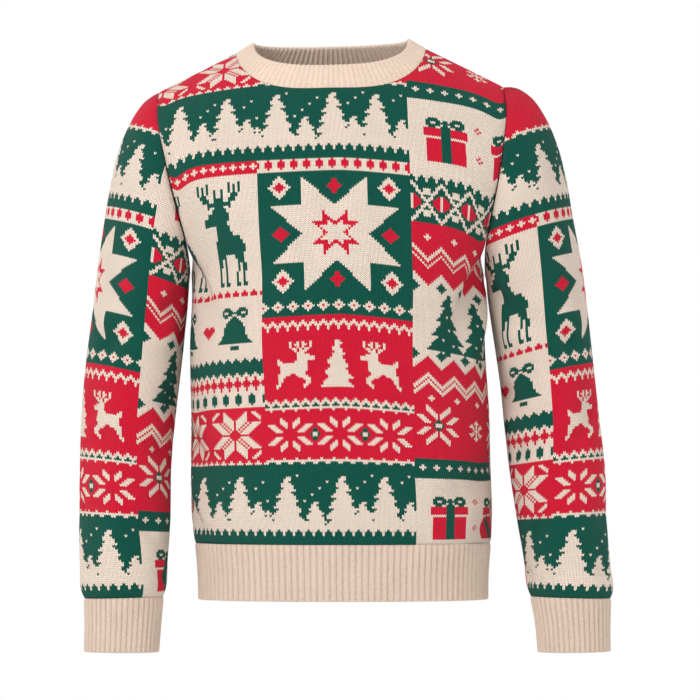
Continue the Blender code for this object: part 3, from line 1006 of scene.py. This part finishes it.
    @staticmethod
    def lozenges(patch: Patch) -> None:
        """Crossing lines with red lozenges and cream squares between them."""
        middle, period = 118, 12
        off = np.abs((patch.wale - 36 + 6) % period - 6)
        rise = np.abs(patch.course - middle)
        far = 6 - off
        patch.paint((far + np.maximum(rise - 1, 0) <= 3.6) & (rise <= 3), Yarn.RED)
        patch.paint((far < 0.6) & (rise <= 3), Yarn.CREAM)
        patch.paint(np.abs(off - rise * 0.68) < 0.8, Yarn.CREAM)
        patch.paint((off <= 1) & (np.abs(rise - 5.0) < 1.2), Yarn.CREAM)
        teeth = 127.5 + 3.4 * patch.wave(4)
        patch.paint(patch.course >= teeth, Yarn.CREAM)


def tall_deer() -> list:
    """The standing deer's chart with its lower rows doubled, for its long legs and body."""
    return [row for n, row in enumerate(STANDING_DEER) for _ in range(2 if n % 6 else 1)]


# ------------------------------------------------------------------------------- the knitted shells


def add_object(name: str, data: bpy.types.ID) -> bpy.types.Object:
    """Puts a mesh, lamp or camera in the scene under a name."""
    made = bpy.data.objects.new(name, data)
    bpy.context.scene.collection.objects.link(made)
    return made


@dataclass
class Shell:
    """Points and faces of a piece with what its materials read."""

    points: list = field(default_factory=list)
    quads: list = field(default_factory=list)
    stitch: list = field(default_factory=list)
    flat: list = field(default_factory=list)
    yarn: list = field(default_factory=list)
    slot: list = field(default_factory=list)
    rim: list = field(default_factory=list)
    count: int = 0

    def add(
        self, points: Array, quads: Array, stitch: Array, flat: Array, yarn: Array, slot: int
    ) -> None:
        """Adds a grid's points and faces.

        Args:
            points: Points, one a row.
            quads: Indices of the faces' corners.
            stitch: Half wales and courses of the points, and how much painted shade a rib groove adds.
            flat: Places of the points in the flat cut, from 0 to 1.
            yarn: Yarns of the faces.
            slot: The faces' material slot.
        """
        corners = points[quads]
        across, along = corners[:, 2] - corners[:, 0], corners[:, 3] - corners[:, 1]
        kept = np.linalg.norm(np.cross(across, along), axis=1) > 1e-8
        self.points.append(points)
        self.quads.append(quads[kept] + self.count)
        self.stitch.append(stitch)
        self.flat.append(flat)
        self.yarn.append(yarn[kept])
        self.slot.append(np.full(int(kept.sum()), slot))
        self.count += len(points)

    def close(self, face: Array, back: Array) -> None:
        """Joins a border of the face side to the same border of the wrong side."""
        i = j = 0
        while i < len(face) - 1 or j < len(back) - 1:
            ahead = (i + 1) * (len(back) - 1) <= (j + 1) * (len(face) - 1)
            if i < len(face) - 1 and (ahead or j == len(back) - 1):
                self.rim.append((face[i + 1], face[i], back[j]))
                i += 1
            else:
                self.rim.append((face[i], back[j], back[j + 1]))
                j += 1

    def build(self, name: str) -> bpy.types.Object:
        """Makes the object, its attributes and its map of the flat cut."""
        points, quads = np.concatenate(self.points), np.concatenate(self.quads)
        rim = np.array(self.rim, dtype=int).reshape(-1, 3)
        used, back = np.unique(np.concatenate([quads.ravel(), rim.ravel()]), return_inverse=True)
        quads, rim = back[: quads.size].reshape(quads.shape), back[quads.size :].reshape(-1, 3)
        self.yarn.append(np.zeros(len(rim)))
        self.slot.append(np.full(len(rim), int(len(rim) > 0)))
        mesh = bpy.data.meshes.new(name)
        mesh.from_pydata(points[used].tolist(), [], quads.tolist() + rim.tolist())
        stitch = np.concatenate(self.stitch)[used]
        made = mesh.attributes.new("stitch", "FLOAT_VECTOR", "POINT")
        made.data.foreach_set("vector", stitch.ravel())
        tone = mesh.attributes.new("yarn", "FLOAT", "FACE")
        tone.data.foreach_set("value", np.concatenate(self.yarn).astype(float))
        mesh.polygons.foreach_set("material_index", np.concatenate(self.slot).astype(np.int32))
        flat = np.concatenate(self.flat)[used]
        layer = mesh.uv_layers.new(name="OFBake")
        layer.data.foreach_set("uv", flat[back].ravel())
        work = bmesh.new()
        work.from_mesh(mesh)
        bmesh.ops.remove_doubles(work, verts=work.verts, dist=0.00002)
        bmesh.ops.dissolve_degenerate(work, dist=0.00001, edges=work.edges)
        work.to_mesh(mesh)
        work.free()
        mesh.shade_smooth()
        return add_object(name, mesh)


def grid_quads(columns: int, rows: int) -> Array:
    """Corners of a grid's faces, where point (i, j) has the index i * rows + j."""
    i, j = np.meshgrid(np.arange(columns - 1), np.arange(rows - 1), indexing="ij")
    start = (i * rows + j).ravel()
    return np.stack([start, start + rows, start + rows + 1, start + 1], axis=1)


@dataclass
class KnitMap:
    """Where the wales and courses of a cut piece run, by point of its surface's grid."""

    surface: Surface
    wales: Array
    courses: Array

    def locate(self, wales: Array, courses: Array) -> tuple:
        """Finds places of the grid from wales and courses.

        Args:
            wales: One wale for each column of stitches.
            courses: Courses wanted, by column and row.

        Returns:
            Fractional indices of level and place, by column and row.
        """
        s = self.surface
        places, levels = np.arange(s.places, dtype=float), np.arange(s.levels, dtype=float)
        column = np.stack([np.interp(wales, row, places) for row in self.wales])
        height = np.stack([np.interp(c, places, row) for c, row in zip(column, self.courses)])
        level, place = np.empty(courses.shape), np.empty(courses.shape)
        for i in range(len(wales)):
            rising = np.maximum.accumulate(height[:, i]) + 1e-7 * levels
            past = levels - np.interp(column[:, i], places, s.top)
            end = np.interp(0.0, np.maximum.accumulate(past), levels)
            level[i] = np.minimum(np.interp(courses[i], rising, levels), end)
            place[i] = np.interp(level[i], levels, column[:, i])
        return level, place

    def shell(self, half_wales: int, rows: int, chart: Chart, sewn: Array) -> Shell:
        """Knits the piece.

        Args:
            half_wales: Wales from the middle to the last one at each side.
            rows: How many courses to knit.
            chart: The yarns.
            sewn: Distances from the sewn edges, over the grid.

        Returns:
            The face side in single stitches, and the wrong side.
        """
        made = Shell()
        borders = []
        for step, row_step, inner in ((0.5, 1, False), (2.0, 4, True)):
            wales = np.arange(-half_wales, half_wales + step / 2, step)
            rise = np.arange(0, rows + row_step, row_step, dtype=float)
            lift = np.zeros(len(wales)) if inner else STITCH_LIFT * (np.arange(len(wales)) % 2 == 0)
            courses = rise[None, :] + lift[:, None] * (rise[None, :] > 0)
            level, place = self.locate(wales, courses)
            plain = self.locate(wales, rise[None, :] + 0 * courses)
            last = self.surface.places - 1
            edge = (np.minimum(place, plain[1]) <= 0) | (np.maximum(place, plain[1]) >= last)
            level, place = np.where(edge, plain[0], level), np.where(edge, plain[1], place)
            points = lerp_grid(self.surface.points, level, place)
            if inner:
                behind = np.minimum(INNER_SIDE, EDGE_WALL + lerp_grid(sewn, level, place) * 0.8)
                points = points - lerp_grid(self.surface.normals, level, place) * behind[..., None]
            quads = grid_quads(len(wales), len(rise))
            i, j = quads[:, 0] // len(rise), quads[:, 0] % len(rise)
            yarn = chart.yarn(np.floor(wales[i] + 0.01).astype(int), rise[j].astype(int))
            wide = np.broadcast_to(wales[:, None], courses.shape)
            stitch = np.stack([wide * 2.0, courses - lift[:, None], 0 * wide], axis=-1).reshape(-1, 3)
            span = 2.0 * half_wales
            flat = np.stack([(wide + half_wales) / span, courses / (rows + 8.0)], axis=-1)
            flat = flat.reshape(-1, 2)
            flat = np.clip(flat, 0.0, 1.0) * [0.48, 1.0] + [0.51 if inner else 0.0, 0.0]
            if inner:
                quads = quads[:, ::-1]
            index = np.arange(level.size).reshape(level.shape) + made.count
            borders.append((index[:, 0], index[-1], index[::-1, -1], index[::-1][-1][::-1]))
            made.add(points.reshape(-1, 3), quads, stitch, flat, yarn, int(inner))
        for face, back in zip(*borders):
            made.close(face, back)
        return made


@dataclass
class RibBand:
    """A ribbed band swept round an edge: out of its seam, round the free edge and back inside."""

    surface: Surface  # its outer face
    free_at_top: bool  # whether the free edge is the highest level and not the lowest
    wall: float
    pitch: float  # width of a rib
    outside: float  # depth of the outer grooves
    inside: float  # depth of the inner ones
    linked: bool = False  # whether a chain of linking stitches shows at its seam

    def path(self, height: float) -> tuple:
        """The section's distances from the free edge and its depths, from the outer seam round."""
        half = self.wall / 2
        outer = np.linspace(height, half, 22)
        turn = np.linspace(0.0, math.pi, 9)[1:-1]
        inner = np.linspace(half, height, 14)
        along = np.concatenate([outer, half - half * np.sin(turn), inner])
        share = np.concatenate([0 * outer, (1 - np.cos(turn)) / 2, 0 * inner + 1])
        return along, share

    def build(self, name: str) -> bpy.types.Object:
        """Makes the band's object."""
        s = self.surface
        arc = s.arc_across[s.levels // 2] - s.arc_across[s.levels // 2, 0]
        ribs = round(arc[-1] / self.pitch)
        count = ribs * RIB_SAMPLES + 1
        phase = np.linspace(0.0, ribs, count)
        place = np.interp(phase / ribs * arc[-1], arc, np.arange(s.places))
        height = float(s.arc_along[-1].mean())
        along, share = self.path(height)
        groove = np.abs(np.cos(math.pi * phase)) ** GROOVE_POWER
        near_seam = np.exp(-(((height - along) / RIB_SEAM_REACH) ** 2))
        depth_out = self.outside * groove[:, None] * (1 - 0.5 * near_seam[None, :])
        depth_in = self.wall + self.inside * groove[:, None] - self.inside
        depth = depth_out + (depth_in - depth_out) * share[None, :]
        depth = depth + RIB_SEAM_DIP * near_seam[None, :] * (1 - share[None, :])
        if self.linked:
            depth = depth + self.linking(phase, height - along, share)
        notch = EDGE_NOTCH * groove[:, None] * (along[None, :] < self.wall)
        short = np.minimum(along[None, :] + notch, height)
        level = short / height * (s.levels - 1)
        if self.free_at_top:
            level = (s.levels - 1) - level
        grid = np.broadcast_to(place[:, None], level.shape)
        points = lerp_grid(s.points, level, grid) - lerp_grid(s.normals, level, grid) * depth[..., None]
        quads = grid_quads(count, len(along))
        corners = points.reshape(-1, 3)[quads[:: len(along) - 1][:8]]
        facing = np.cross(corners[:, 2] - corners[:, 0], corners[:, 3] - corners[:, 1])
        normals = lerp_grid(s.normals, level, grid).reshape(-1, 3)[quads[:: len(along) - 1][:8, 0]]
        if (facing * normals).sum() < 0:
            quads = quads[:, ::-1]
        steps = np.hypot(np.diff(along), np.diff(share) * self.wall)
        travelled = np.concatenate([[0.0], np.cumsum(steps)])
        wide = np.broadcast_to(phase[:, None] * 4.0, level.shape)
        deep = np.broadcast_to(travelled[None, :], level.shape)
        # How much painted shade each point takes from its rib groove
        painted_shade = np.broadcast_to(groove[:, None], level.shape)
        stitch = np.stack([wide, deep / COURSE, painted_shade], axis=-1).reshape(-1, 3)
        flat = np.stack([wide / wide.max(), deep / travelled[-1]], axis=-1).reshape(-1, 2)
        made = Shell()
        made.add(points.reshape(-1, 3), quads, stitch, flat, np.full(len(quads), int(Yarn.RIB)), 0)
        return made.build(name)

    def linking(self, phase: Array, up: Array, share: Array) -> Array:
        """The chain of linking stitches over the neck seam, with a small hole after each."""
        outer = (1 - share)[None, :]
        bead = -0.0009 * np.exp(-(((up - 0.0016) / 0.0011) ** 2))[None, :] * outer
        turns = phase * self.pitch / LINK
        hole = np.maximum(np.cos(2 * math.pi * turns), 0.0)[:, None] ** 2
        return bead + 0.0011 * hole * np.exp(-(((up - 0.0034) / 0.0008) ** 2))[None, :] * outer


# ------------------------------------------------------------------------------------- the finishes


class Sketch:
    """Adds nodes to a tree with few words."""

    def __init__(self, tree: bpy.types.NodeTree) -> None:
        """Keeps the tree."""
        self.tree = tree

    def node(self, kind: str, **settings: object) -> bpy.types.Node:
        """Adds a node and sets its properties."""
        made = self.tree.nodes.new(kind)
        for key, value in settings.items():
            setattr(made, key, value)
        return made

    def feed(self, socket: bpy.types.NodeSocket, value: object) -> None:
        """Links a socket, or sets its value."""
        if isinstance(value, bpy.types.NodeSocket):
            self.tree.links.new(value, socket)
        else:
            socket.default_value = value

    def math(self, operation: str, *values: Socket) -> bpy.types.NodeSocket:
        """A Math node."""
        made = self.node("ShaderNodeMath", operation=operation)
        for socket, value in zip(made.inputs, values):
            self.feed(socket, value)
        return made.outputs[0]

    def mix(self, factor: Socket, first: object, second: object) -> bpy.types.NodeSocket:
        """A mix of two colours."""
        made = self.node("ShaderNodeMix", data_type="RGBA")
        sockets = (made.inputs[0], made.inputs[6], made.inputs[7])
        for socket, value in zip(sockets, (factor, first, second)):
            self.feed(socket, value)
        return made.outputs[2]

    def noise(self, vector: bpy.types.NodeSocket, scale: float, detail: float) -> bpy.types.NodeSocket:
        """A noise value."""
        made = self.node("ShaderNodeTexNoise")
        made.inputs["Scale"].default_value = scale
        made.inputs["Detail"].default_value = detail
        self.feed(made.inputs["Vector"], vector)
        return made.outputs["Fac"]


def new_group(name: str, inputs: list, outputs: list) -> tuple:
    """Starts a shader node group.

    Args:
        name: Its name.
        inputs: Names and kinds of its inputs.
        outputs: Names and kinds of its outputs.

    Returns:
        The group, a sketch of it, its input node and its output node.
    """
    group = bpy.data.node_groups.new(name, "ShaderNodeTree")
    for label, kind in inputs:
        group.interface.new_socket(name=label, in_out="INPUT", socket_type=kind)
    for label, kind in outputs:
        group.interface.new_socket(name=label, in_out="OUTPUT", socket_type=kind)
    sketch = Sketch(group)
    return group, sketch, sketch.node("NodeGroupInput"), sketch.node("NodeGroupOutput")


@dataclass(frozen=True)
class Dyes:
    """Colours of the yarns, and of the shade between their stitches."""

    cream: tuple = (0.860, 0.715, 0.600, 1.0)
    red: tuple = (0.690, 0.008, 0.036, 1.0)
    green: tuple = (0.001, 0.088, 0.060, 1.0)
    # rib: the cream yarn of the ribbed bands, darkened with painted shade
    rib: tuple = (0.570, 0.450, 0.366, 1.0)


def yarn_group(dyes: Dyes) -> bpy.types.NodeTree:
    """The group that turns a stitch's yarn number into its dyed, slightly mottled colour; the ribs'
    colour is their cream yarn darkened with painted shade.
    """
    group, s, given, out = new_group(
        "dyed_yarn",
        [("Yarn", "NodeSocketFloat"), ("Stitch", "NodeSocketVector")],
        [("Color", "NodeSocketColor")],
    )
    colour = dyes.cream
    for number, dye in ((Yarn.RED, dyes.red), (Yarn.GREEN, dyes.green), (Yarn.RIB, dyes.rib)):
        made = s.node("ShaderNodeMath", operation="COMPARE")
        s.feed(made.inputs[0], given.outputs["Yarn"])
        made.inputs[1].default_value = float(number)
        made.inputs[2].default_value = 0.4
        colour = s.mix(made.outputs[0], colour, dye)
    fine = s.noise(given.outputs["Stitch"], 0.9, 2.0)
    broad = s.noise(given.outputs["Stitch"], 0.05, 3.0)
    level = s.math("ADD", s.math("MULTIPLY", fine, 0.55), s.math("MULTIPLY", broad, 0.20))
    shade = s.node("ShaderNodeHueSaturation")
    s.feed(shade.inputs["Value"], s.math("ADD", level, 0.66))
    s.feed(shade.inputs["Color"], colour)
    s.feed(out.inputs["Color"], shade.outputs[0])
    return group


def stitch_group() -> bpy.types.NodeTree:
    """The group that gives the height of the yarn in each leg of a stitch, and a mask of painted shade
    in the gaps between.
    """
    group, s, given, out = new_group(
        "stitch_relief_and_gap_shade",
        [("Stitch", "NodeSocketVector"), ("Slant", "NodeSocketFloat")],
        [("Height", "NodeSocketFloat"), ("Gap", "NodeSocketFloat")],
    )
    parts = s.node("ShaderNodeSeparateXYZ")
    s.feed(parts.inputs[0], given.outputs["Stitch"])
    leg = s.math("FRACT", parts.outputs[0])
    swing = s.math("PINGPONG", parts.outputs[0], 1.0)
    slanted = s.math("MULTIPLY", swing, given.outputs["Slant"])
    row = s.math("FRACT", s.math("ADD", parts.outputs[1], slanted))
    rounds = []
    for value, share in ((leg, 0.90), (row, 0.97)):
        off = s.math("SUBTRACT", s.math("MULTIPLY", value, 2.0), 1.0)
        squared = s.math("MULTIPLY", s.math("MULTIPLY", off, off), share)
        rounds.append(s.math("SQRT", s.math("SUBTRACT", 1.0, squared)))
    height = s.math("MULTIPLY", rounds[0], rounds[1])
    s.feed(out.inputs["Height"], height)
    # Painted shade: dark where the yarn lies low between stitches, and more so in a rib's grooves
    gap = s.node("ShaderNodeMapRange", interpolation_type="SMOOTHSTEP")
    s.feed(gap.inputs["Value"], s.math("SUBTRACT", height, s.math("MULTIPLY", parts.outputs[2], 0.55)))
    for socket, value in (("From Min", 0.10), ("From Max", 0.92), ("To Min", 1.0), ("To Max", 0.0)):
        gap.inputs[socket].default_value = value
    s.feed(out.inputs["Gap"], gap.outputs[0])
    return group


MATT = {"Specular IOR Level": 0.08, "Sheen Weight": 0.04, "Sheen Roughness": 0.5}


@dataclass(frozen=True)
class KnitFinish:
    """A matt knit: its roughness, how dark the painted shade in its gaps is and how far its stitches
    stand out.
    """

    name: str
    roughness: float
    shade: float
    relief: float
    slant: float
    wrong_side: bool = False

    def make(self, yarns: bpy.types.NodeTree, stitches: bpy.types.NodeTree) -> bpy.types.Material:
        """Builds the material.

        Args:
            yarns: The group that colours the yarn.
            stitches: The group that gives the stitches' relief.

        Returns:
            The material.
        """
        material = bpy.data.materials.new(self.name)
        material.use_nodes = True
        tree = material.node_tree
        s = Sketch(tree)
        shader = tree.nodes["Principled BSDF"]
        stitch = s.node("ShaderNodeAttribute", attribute_name="stitch").outputs["Vector"]
        number = s.node("ShaderNodeAttribute", attribute_name="yarn").outputs["Fac"]
        if self.wrong_side:
            stretched = s.node("ShaderNodeMapping")
            stretched.inputs["Scale"].default_value = (0.22, 1.0, 1.0)
            s.feed(stretched.inputs["Vector"], stitch)
            float_yarn = s.math("GREATER_THAN", s.noise(stretched.outputs[0], 1.3, 1.0), 0.53)
            number = s.math("MODULO", s.math("ADD", number, float_yarn), 3.0)
        dyed = s.node("ShaderNodeGroup", node_tree=yarns)
        s.feed(dyed.inputs["Yarn"], number)
        s.feed(dyed.inputs["Stitch"], stitch)
        relief = s.node("ShaderNodeGroup", node_tree=stitches)
        s.feed(relief.inputs["Stitch"], stitch)
        relief.inputs["Slant"].default_value = self.slant
        # The yarn's colour darkened in the gaps between stitches: painted shade
        painted_shade = s.node("ShaderNodeHueSaturation")
        painted_shade.inputs["Saturation"].default_value = 1.12
        painted_shade.inputs["Value"].default_value = 1.0 - self.shade
        s.feed(painted_shade.inputs["Color"], dyed.outputs[0])
        colour = s.mix(relief.outputs["Gap"], dyed.outputs[0], painted_shade.outputs[0])
        s.feed(shader.inputs["Base Color"], colour)
        shader.inputs["Roughness"].default_value = self.roughness
        for label, value in MATT.items():
            shader.inputs[label].default_value = value
        fibres = s.math("MULTIPLY", s.noise(stitch, 6.0, 3.0), 0.25)
        bump = s.node("ShaderNodeBump")
        bump.inputs["Strength"].default_value = 0.8
        bump.inputs["Distance"].default_value = self.relief
        s.feed(bump.inputs["Height"], s.math("ADD", relief.outputs["Height"], fibres))
        s.feed(shader.inputs["Normal"], bump.outputs[0])
        return material


class Wardrobe:
    """The finishes of all pieces."""

    def __init__(self) -> None:
        """Builds the shared groups, then each material."""
        yarns, stitches = yarn_group(Dyes()), stitch_group()
        # Each finish's third number is how dark its painted shade in the gaps is
        self.jacquard = KnitFinish("jacquard_face", 0.92, 0.84, 0.0020, 0.0).make(yarns, stitches)
        wrong_side = KnitFinish("jacquard_wrong_side", 0.95, 0.35, 0.0010, 0.0, True)
        self.floats = wrong_side.make(yarns, stitches)
        self.rib = KnitFinish("rib_face", 0.90, 0.22, 0.0010, 0.8).make(yarns, stitches)
        self.collar = KnitFinish("collar_face", 0.90, 0.16, 0.0005, 0.8).make(yarns, stitches)


# -------------------------------------------------------------------------------------- the pieces


def finish_piece(made: bpy.types.Object, node: str, materials: list) -> None:
    """Gives a piece its materials, attaches it to what it rides on and hides the part it stands for."""
    for material in materials:
        made.data.materials.append(material)
    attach(made, "root")
    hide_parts(node)
    LOG.info("%s: %d faces", made.name, len(made.data.polygons))


@dataclass
class Body:
    """The front and back panels with their hem ribs."""

    wardrobe: Wardrobe
    rib_pitch: float = 0.0078
    rib_wall: float = 0.0035
    left_droop: float = 0.0125
    right_droop: float = 0.0250

    def build(self) -> None:
        """Makes both panels and both ribs."""
        for side, label in ((Side.FRONT, "front"), (Side.BACK, "back")):
            self.hem(side, label)
            self.panel(side, label)

    def knit_map(self, surface: Surface) -> KnitMap:
        """Lays wales and courses on a panel."""
        z = surface.points[..., 2]
        x = surface.points[..., 0]
        edge = (surface.arc_across[:, -1] - surface.arc_across[:, 0]) / 2
        level = int((z[:, surface.places // 2] < UNDERARM - 0.002).sum()) - 1
        pitch = edge / PANEL_WALES
        pitch[level:] = pitch[level]
        wales = surface.arc_across / pitch[:, None]
        half = BodyForm.at(np.clip(z, HEM_SEAM, TIP), "half_width")
        droop = np.where(x > 0, self.right_droop, self.left_droop) * np.abs(x / half) ** DROOP_POWER
        ramp = smooth_step((z - HEM_SEAM) / DROOP_RISE)
        courses = (surface.arc_along + ramp * droop) / COURSE
        return KnitMap(surface, wales, courses)

    def panel(self, side: Side, label: str) -> None:
        """Knits one panel."""
        surface = body_surface(side)
        surface.fold(PANEL_FOLDS[side])
        mapped = self.knit_map(surface)
        sewn = surface.sew()
        rows = int(mapped.courses.max()) + 1
        made = mapped.shell(PANEL_WALES, rows, Chart(), sewn).build(f"{label}_panel_knit")
        materials = [self.wardrobe.jacquard, self.wardrobe.floats]
        finish_piece(made, f"{label}_panel", materials)

    def hem(self, side: Side, label: str) -> None:
        """Knits one hem rib."""
        band = RibBand(hem_surface(side), False, self.rib_wall, self.rib_pitch, 0.0014, 0.0010)
        made = band.build(f"hem_rib_{label}_knit")
        finish_piece(made, f"hem_rib_{label}", [self.wardrobe.rib])


@dataclass
class Sleeve:
    """One sleeve with its cuff."""

    wardrobe: Wardrobe
    hand: Hand
    rib_pitch: float = 0.0068
    rib_wall: float = 0.0035

    def build(self) -> None:
        """Knits the sleeve, then its cuff."""
        label = self.hand.label
        surface = sleeve_surface(self.hand)
        surface.fold(self.folds())
        mapped = self.knit_map(surface)
        sewn = surface.sew()
        rows = int(mapped.courses.max()) + 1
        chart = Chart(0 if self.hand is Hand.LEFT else 4)
        half = 2 * int(math.ceil(np.abs(mapped.wales).max() / 2))
        self.cuff(label)
        made = mapped.shell(half, rows, chart, sewn).build(f"sleeve_{label}_knit")
        materials = [self.wardrobe.jacquard, self.wardrobe.floats]
        finish_piece(made, f"sleeve_{label}", materials)

    def cuff(self, label: str) -> None:
        """Knits the cuff."""
        band = RibBand(cuff_surface(self.hand), False, self.rib_wall, self.rib_pitch, 0.0014, 0.0009)
        cuff = band.build(f"cuff_{label}_knit")
        finish_piece(cuff, f"cuff_{label}", [self.wardrobe.rib])

    def folds(self) -> list:
        """The creases of this sleeve."""
        front = -int(self.hand)
        return [
            f._replace(across=front * f.across, to_across=front * f.to_across)
            for f in SLEEVE_FOLDS
        ]

    def knit_map(self, surface: Surface) -> KnitMap:
        """Lays wales along the sleeve and courses that rise towards its outer line."""
        z = surface.points[..., 2]
        x = np.abs(surface.points[..., 0])
        centre = z.copy()
        for _ in range(12):
            off = x - girth_at(centre, "line")
            tilt = np.tan(np.radians(np.interp(centre, *SLEEVE_SLOPES)))
            bend = np.interp(centre, *SLEEVE_BENDS)
            centre = 0.5 * centre + 0.5 * (z - tilt * off + bend * off * off)
        courses = (centre - CUFF_SEAM) * SLEEVE_STRETCH / COURSE
        wales = self.wales(surface, centre, x)
        return KnitMap(surface, wales, np.maximum(courses, surface.arc_along * 0.02 / COURSE))

    def wales(self, surface: Surface, centre: Array, x: Array) -> Array:
        """Counts wales round the girth from the outer line, so that the armhole cuts them off.

        Args:
            surface: The sleeve's surface.
            centre: Height at which each point's course crosses the sleeve's middle.
            x: Distances from the body's middle.

        Returns:
            The wale at each point of the grid.
        """
        middle, lean = girth_at(centre, "middle"), girth_at(centre, "y")
        wide, deep = girth_at(centre, "half_wide"), girth_at(centre, "half_deep")
        ahead = -int(self.hand) * (lean - surface.points[..., 1])
        turn = np.arctan2(ahead / deep, (x - middle) / wide)
        place = np.broadcast_to(np.linspace(-1.0, 1.0, surface.places), turn.shape)
        turn = np.where((place > 0.5) & (turn < 0), turn + 2 * math.pi, turn)
        turn = np.where((place < -0.5) & (turn > 0), turn - 2 * math.pi, turn)
        shares = np.linspace(0.025, 0.975, 20)
        parts = [np.hypot(wide * np.sin(turn * t), deep * np.cos(turn * t)) for t in shares]
        return np.maximum.accumulate(turn * np.mean(parts, axis=0) / WALE, axis=1)


@dataclass
class Collar:
    """The folded, doubled neck rib."""

    wardrobe: Wardrobe
    wall: float = 0.0060
    pitch: float = 0.0062

    def build(self) -> None:
        """Knits the band and its linking line."""
        band = RibBand(collar_surface(), True, self.wall, self.pitch, 0.0004, 0.0018, linked=True)
        made = band.build("collar_knit")
        finish_piece(made, "collar", [self.wardrobe.collar])


# -------------------------------------------------------------------------------------- the studio


# Names, places, sizes and powers
LAMPS = [
    ("key", (-2.4, -2.9, 2.0), 1.5, 138.0),
    ("fill", (2.6, -2.8, 0.4), 2.0, 36.0),
    ("back_left", (-2.2, 2.6, 1.2), 1.8, 22.0),
    ("back_right", (2.2, 2.6, 1.2), 1.8, 22.0),
]
LAMPS_AIM = (0.0, 0.0, -0.36)
SENSOR = 36.0


@dataclass
class Studio:
    """A pale floor, soft light from above and in front, and a camera square to the front."""

    distance: float = 9.0
    view_width: float = 0.854
    middle: tuple = (0.0122, -0.3650)
    floor_gap: float = 0.85

    def build(self) -> None:
        """Makes the floor, the lights, the world and the camera."""
        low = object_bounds()[0][2]
        work = bmesh.new()
        bmesh.ops.create_circle(work, cap_ends=True, segments=96, radius=9.0)
        mesh = bpy.data.meshes.new("floor")
        work.to_mesh(mesh)
        work.free()
        floor = add_object("floor", mesh)
        floor.location.z = low - self.floor_gap
        paint = bpy.data.materials.new("floor_paint")
        paint.use_nodes = True
        shader = paint.node_tree.nodes["Principled BSDF"]
        shader.inputs["Base Color"].default_value = (0.86, 0.86, 0.86, 1.0)
        shader.inputs["Roughness"].default_value = 0.9
        mesh.materials.append(paint)
        floor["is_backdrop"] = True
        for lamp in LAMPS:
            self.light(*lamp)
        world = bpy.data.worlds.new("studio")
        world.use_nodes = True
        background = world.node_tree.nodes["Background"]
        background.inputs["Color"].default_value = (1.0, 1.0, 1.0, 1.0)
        background.inputs["Strength"].default_value = 1.0
        bpy.context.scene.world = world
        bpy.context.scene.view_settings.view_transform = "Standard"
        self.camera()

    def light(self, name: str, place: tuple, size: float, power: float) -> None:
        """A large soft lamp aimed at the sweater's middle."""
        lamp = bpy.data.lights.new(name, "AREA")
        lamp.shape = "DISK"
        lamp.size = size
        lamp.energy = power
        made = add_object(name, lamp)
        made.location = place
        aim = Vector(LAMPS_AIM) - Vector(place)
        made.rotation_euler = aim.to_track_quat("-Z", "Y").to_euler()

    def camera(self) -> None:
        """A long lens level with the sweater's middle."""
        lens = bpy.data.cameras.new("camera")
        lens.sensor_width = SENSOR
        lens.lens = SENSOR * self.distance / self.view_width
        lens.clip_end = 100.0
        made = add_object("camera", lens)
        made.location = (self.middle[0], -self.distance, self.middle[1])
        made.rotation_euler = (math.pi / 2, 0.0, 0.0)
        bpy.context.scene.camera = made


def main() -> None:
    """Builds the sweater and its studio."""
    logging.basicConfig(level=logging.INFO, format="%(message)s")
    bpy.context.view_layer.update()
    wardrobe = Wardrobe()
    Collar(wardrobe).build()
    Body(wardrobe).build()
    for hand in Hand:
        Sleeve(wardrobe, hand).build()
    Studio().build()


if __name__ == "__main__":
    main()
